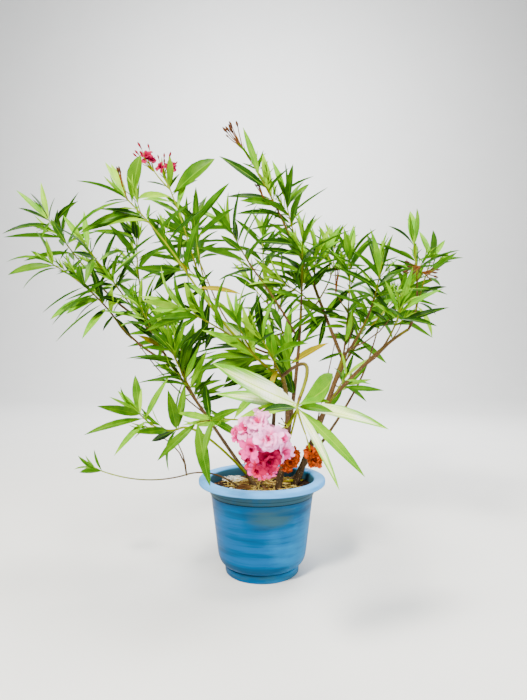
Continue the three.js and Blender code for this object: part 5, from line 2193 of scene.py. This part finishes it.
@dataclass
class Soil:
    """Crumbly earth with straw, bark chips, dead leaves and white grit."""

    finishes: LeafFinishes
    outline: tuple[Pair, ...] = (
        (0, 6.4), (91, 6.4), (93.6, 20), (112, 60), (131.5, 203), (134.6, 208), (135.6, 221),
    )
    rings: int = 26
    turns: int = 120
    surface_from: float = 215.0
    lumps: float = 4.5
    crumbs: int = 620
    grit: int = 46
    crumb_reach: float = 130.0
    crumb_size: Pair = (2.5, 8)
    crumb_shape: tuple[Pair, Pair, Pair] = ((0.5, 1.2), (0.5, 1), (0.3, 0.7))
    # Straw, and white chips that lie together at one place
    sticks: tuple[Sticks, ...] = (
        Sticks(170, 100, (9, 34), (1.8, 0.9), 1), Sticks(60, 30, (4, 9), (2.6, 1.6), 3, (-82.0, 62.0, 2.0)),
    )
    stick_slope: float = 0.12
    stick_lift: float = 3.0
    stick_bend: Pair = (3, 7)
    # One of the dead leaves is yellow and has its place
    leaves: int = 30
    leaf_reach: float = 84.0
    yellow_at: Place = (84.0, 14.0, 230.0)
    yellow_turn: float = 0.3
    leaf_length: Pair = (40, 72)
    leaf_wide: float = 0.15
    leaf_slope: float = 0.1
    leaf_lift: float = 4.0
    leaf_bow: float = 0.08
    leaf_fold: Pair = (0.3, 1.1)
    leaf_twist: float = 1.4
    seed: int = 77

    def level(self, x: float, y: float) -> float:
        """Returns the height of the surface at a place, in millimetres."""
        low = noise.noise(Vector((x * 0.016, y * 0.016, 0.3)))
        high = noise.noise(Vector((x * 0.07, y * 0.07, 4.2)))
        return SOIL_TOP - 3.0 + self.lumps * (0.8 * low + 0.45 * high)

    def ground(self) -> None:
        """Builds the body of earth and puts it in the place of its node."""
        edge, top = self.outline[-1]
        inward = [(edge * (1 - step / self.rings), top) for step in range(1, self.rings + 1)]
        bm = turned((*self.outline, *inward), self.turns, 1e-4)
        for vert in bm.verts:
            if vert.co.z > self.surface_from:
                vert.co.z = self.level(vert.co.x, vert.co.y)
        bmesh.ops.scale(bm, vec=(MM, MM, MM), verts=bm.verts[:])
        bmesh.ops.recalc_face_normals(bm, faces=bm.faces[:])
        damp = Earth("damp_earth", (50, 36, 26), (26, 18, 14))
        piece = show(mesh_of(bm, "earth"), [damp.material()], 70.0)
        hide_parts("soil")

    def somewhere(self, chance: Chance, reach: float) -> np.ndarray:
        """Returns a place on the surface by chance, inside a reach."""
        radius, turn = reach * math.sqrt(chance.next()), chance.next() * 2 * math.pi
        x, y = radius * math.cos(turn), radius * math.sin(turn)
        return np.array((x, y, self.level(x, y)))

    def litter(self) -> None:
        """Scatters crumbs, straw, chips, grit and dead leaves over the surface."""
        looks = [
            Earth("crumb", (70, 48, 34), (36, 24, 18)), Earth("straw", (236, 210, 110), (180, 140, 70)),
            Earth("chip", (132, 92, 56), (80, 54, 34)), Earth("grit", (240, 238, 230), (206, 202, 190)),
        ]
        heap = Heap("litter", [look.material() for look in looks])
        chance = Chance(self.seed)
        bm = bmesh.new()
        bmesh.ops.create_icosphere(bm, subdivisions=1, radius=1)
        lump, stick = Mould.of(bm), rod_mould(4, 2)
        for index in range(self.crumbs + self.grit):
            place = self.somewhere(chance, self.crumb_reach)
            size = chance.between(*self.crumb_size)
            shape = lump.corners * [chance.between(*span) for span in self.crumb_shape]
            slot = 3 if index >= self.crumbs else chance.pick((0, 0, 0, 2))
            heap.add(lump, place + shape * size, [[slot]])
        for kind in (kind for kind in self.sticks for _ in range(kind.count)):
            place, turn = self.somewhere(chance, kind.reach) + kind.heart, chance.next() * 2 * math.pi
            way = np.array((math.cos(turn), math.sin(turn), chance.swing(self.stick_slope)))
            way *= chance.between(*kind.length)
            low, high = place - way + UP * self.stick_lift, place + way + UP * self.stick_lift
            middle = place + UP * chance.between(*self.stick_bend)
            heap.rod(stick, Arch(low, middle, high), kind.thick, kind.slot)
        heap.piece()
        self.dead_leaves(chance)

    def dead_leaves(self, chance: Chance) -> None:
        """Lays fallen leaves on the earth.

        Args:
            chance: Draws their places and shapes.
        """
        sheet = Foliage.outline.mould()
        leaves = []
        for index in range(self.leaves):
            place, turn = self.somewhere(chance, self.leaf_reach), chance.next() * 2 * math.pi
            if index == 0:
                place, turn = np.array(self.yellow_at), self.yellow_turn
            heading = unit(np.array((math.cos(turn), math.sin(turn), chance.swing(self.leaf_slope))))
            length = chance.between(*self.leaf_length)
            base = place - heading * length / 2 + UP * self.leaf_lift
            leaf = leaf_at(base, heading, UP, length, length * self.leaf_wide, 0)
            leaf.tint = Tint.YELLOW if index == 0 else Tint.DRY
            leaf.bow = chance.swing(self.leaf_bow)
            leaf.fold = chance.between(*self.leaf_fold)
            leaf.twist = chance.swing(self.leaf_twist)
            leaves.append(leaf)
        heap = Heap("fallen_leaves", self.finishes.materials)
        heap.add(sheet, press_leaves(sheet, leaves), [self.finishes.of(leaf.tint) for leaf in leaves])
        heap.piece()


@dataclass
class Studio:
    """A pale sweep of floor, soft lights and the camera."""

    eye: Place = (0.004, -1.42, 0.59)
    lens: float = 27.05
    frame_height: float = 36.0
    sky: tuple[float, float, float, float] = (0.9, 0.93, 1.0, 1.0)
    sky_strength: float = 0.34

    def floor(self) -> None:
        """Builds the floor, which bends up behind the plant."""
        bm = bmesh.new()
        bmesh.ops.create_grid(bm, x_segments=1, y_segments=1, size=4.5)
        back = [edge for edge in bm.edges if all(vert.co.y > 4 for vert in edge.verts)]
        bmesh.ops.spin(bm, geom=back, cent=(0, 4.5, 2.0), axis=(1, 0, 0), angle=math.pi / 2, steps=16)
        top = [edge for edge in bm.edges if all(vert.co.z > 1.99 for vert in edge.verts)]
        wall = bmesh.ops.extrude_edge_only(bm, edges=top)["geom"]
        bmesh.ops.translate(bm, vec=(0, 0, 4), verts=[v for v in wall if isinstance(v, bmesh.types.BMVert)])
        mesh = mesh_of(bm, "floor")
        bench = Bench("floor")
        mesh.materials.append(bench.finish(
            Base_Color=bench.blend(bench.noise(3.0), (226, 226, 224), (232, 232, 230)), Roughness=0.9,
        ))
        mesh.shade_smooth()
        sweep = placed("floor", mesh)

    def light(self, name: str, place: Place, size: float, power: float, warmth: Colour,
              towards: Place = (0, 0, 0.6)) -> None:
        """Hangs one square light.

        Args:
            name: Its name.
            place: Where it hangs.
            size: Its side.
            power: Its power in watts.
            warmth: Its colour.
            towards: The place that it faces.
        """
        lamp = bpy.data.lights.new(name, "AREA")
        lamp.size, lamp.energy, lamp.color = size, power, linear(warmth)[:3]
        thing = placed(name, lamp)
        thing.location = place
        thing.rotation_euler = (Vector(towards) - Vector(place)).to_track_quat("-Z", "Y").to_euler()

    def build(self) -> None:
        """Sets up floor, lights, sky and camera."""
        self.floor()
        self.light("key", (-1.3, -2.2, 3.0), 0.6, 310, (255, 250, 238))
        self.light("fill", (2.2, -2.2, 1.5), 1.8, 90, (240, 246, 255))
        self.light("top", (0.5, 0.2, 3.6), 1.2, 190, (255, 252, 244))
        self.light("back", (1.0, 2.6, 2.2), 1.6, 70, (244, 248, 255))
        self.light("wall", (0, 2.6, 4.1), 2.4, 560, (250, 252, 255), (0, 6.5, 2.2))
        world = bpy.data.worlds.new("sky")
        world.use_nodes = True
        sky = world.node_tree.nodes["Background"].inputs
        sky["Color"].default_value = self.sky
        sky["Strength"].default_value = self.sky_strength
        bpy.context.scene.world = world
        lens = bpy.data.cameras.new("camera")
        lens.sensor_fit, lens.sensor_height, lens.lens = "VERTICAL", self.frame_height, self.lens
        camera = placed("camera", lens)
        camera.location = self.eye
        camera.rotation_euler = (math.pi / 2, 0, 0)
        bpy.context.scene.camera = camera


def main() -> None:
    """Builds the plant, its pot and the studio."""
    logging.basicConfig(level=logging.INFO, format="%(message)s")
    Studio().build()
    Pot().dress()
    finishes = LeafFinishes()
    soil = Soil(finishes)
    soil.ground()
    soil.litter()
    limbs = Limbs(Bark().material())
    limbs.grow()
    limbs.dress()
    foliage = Foliage(limbs, finishes)
    foliage.grow()
    foliage.dress()
    Blossom(foliage).dress()


if __name__ == "__main__":
    main()
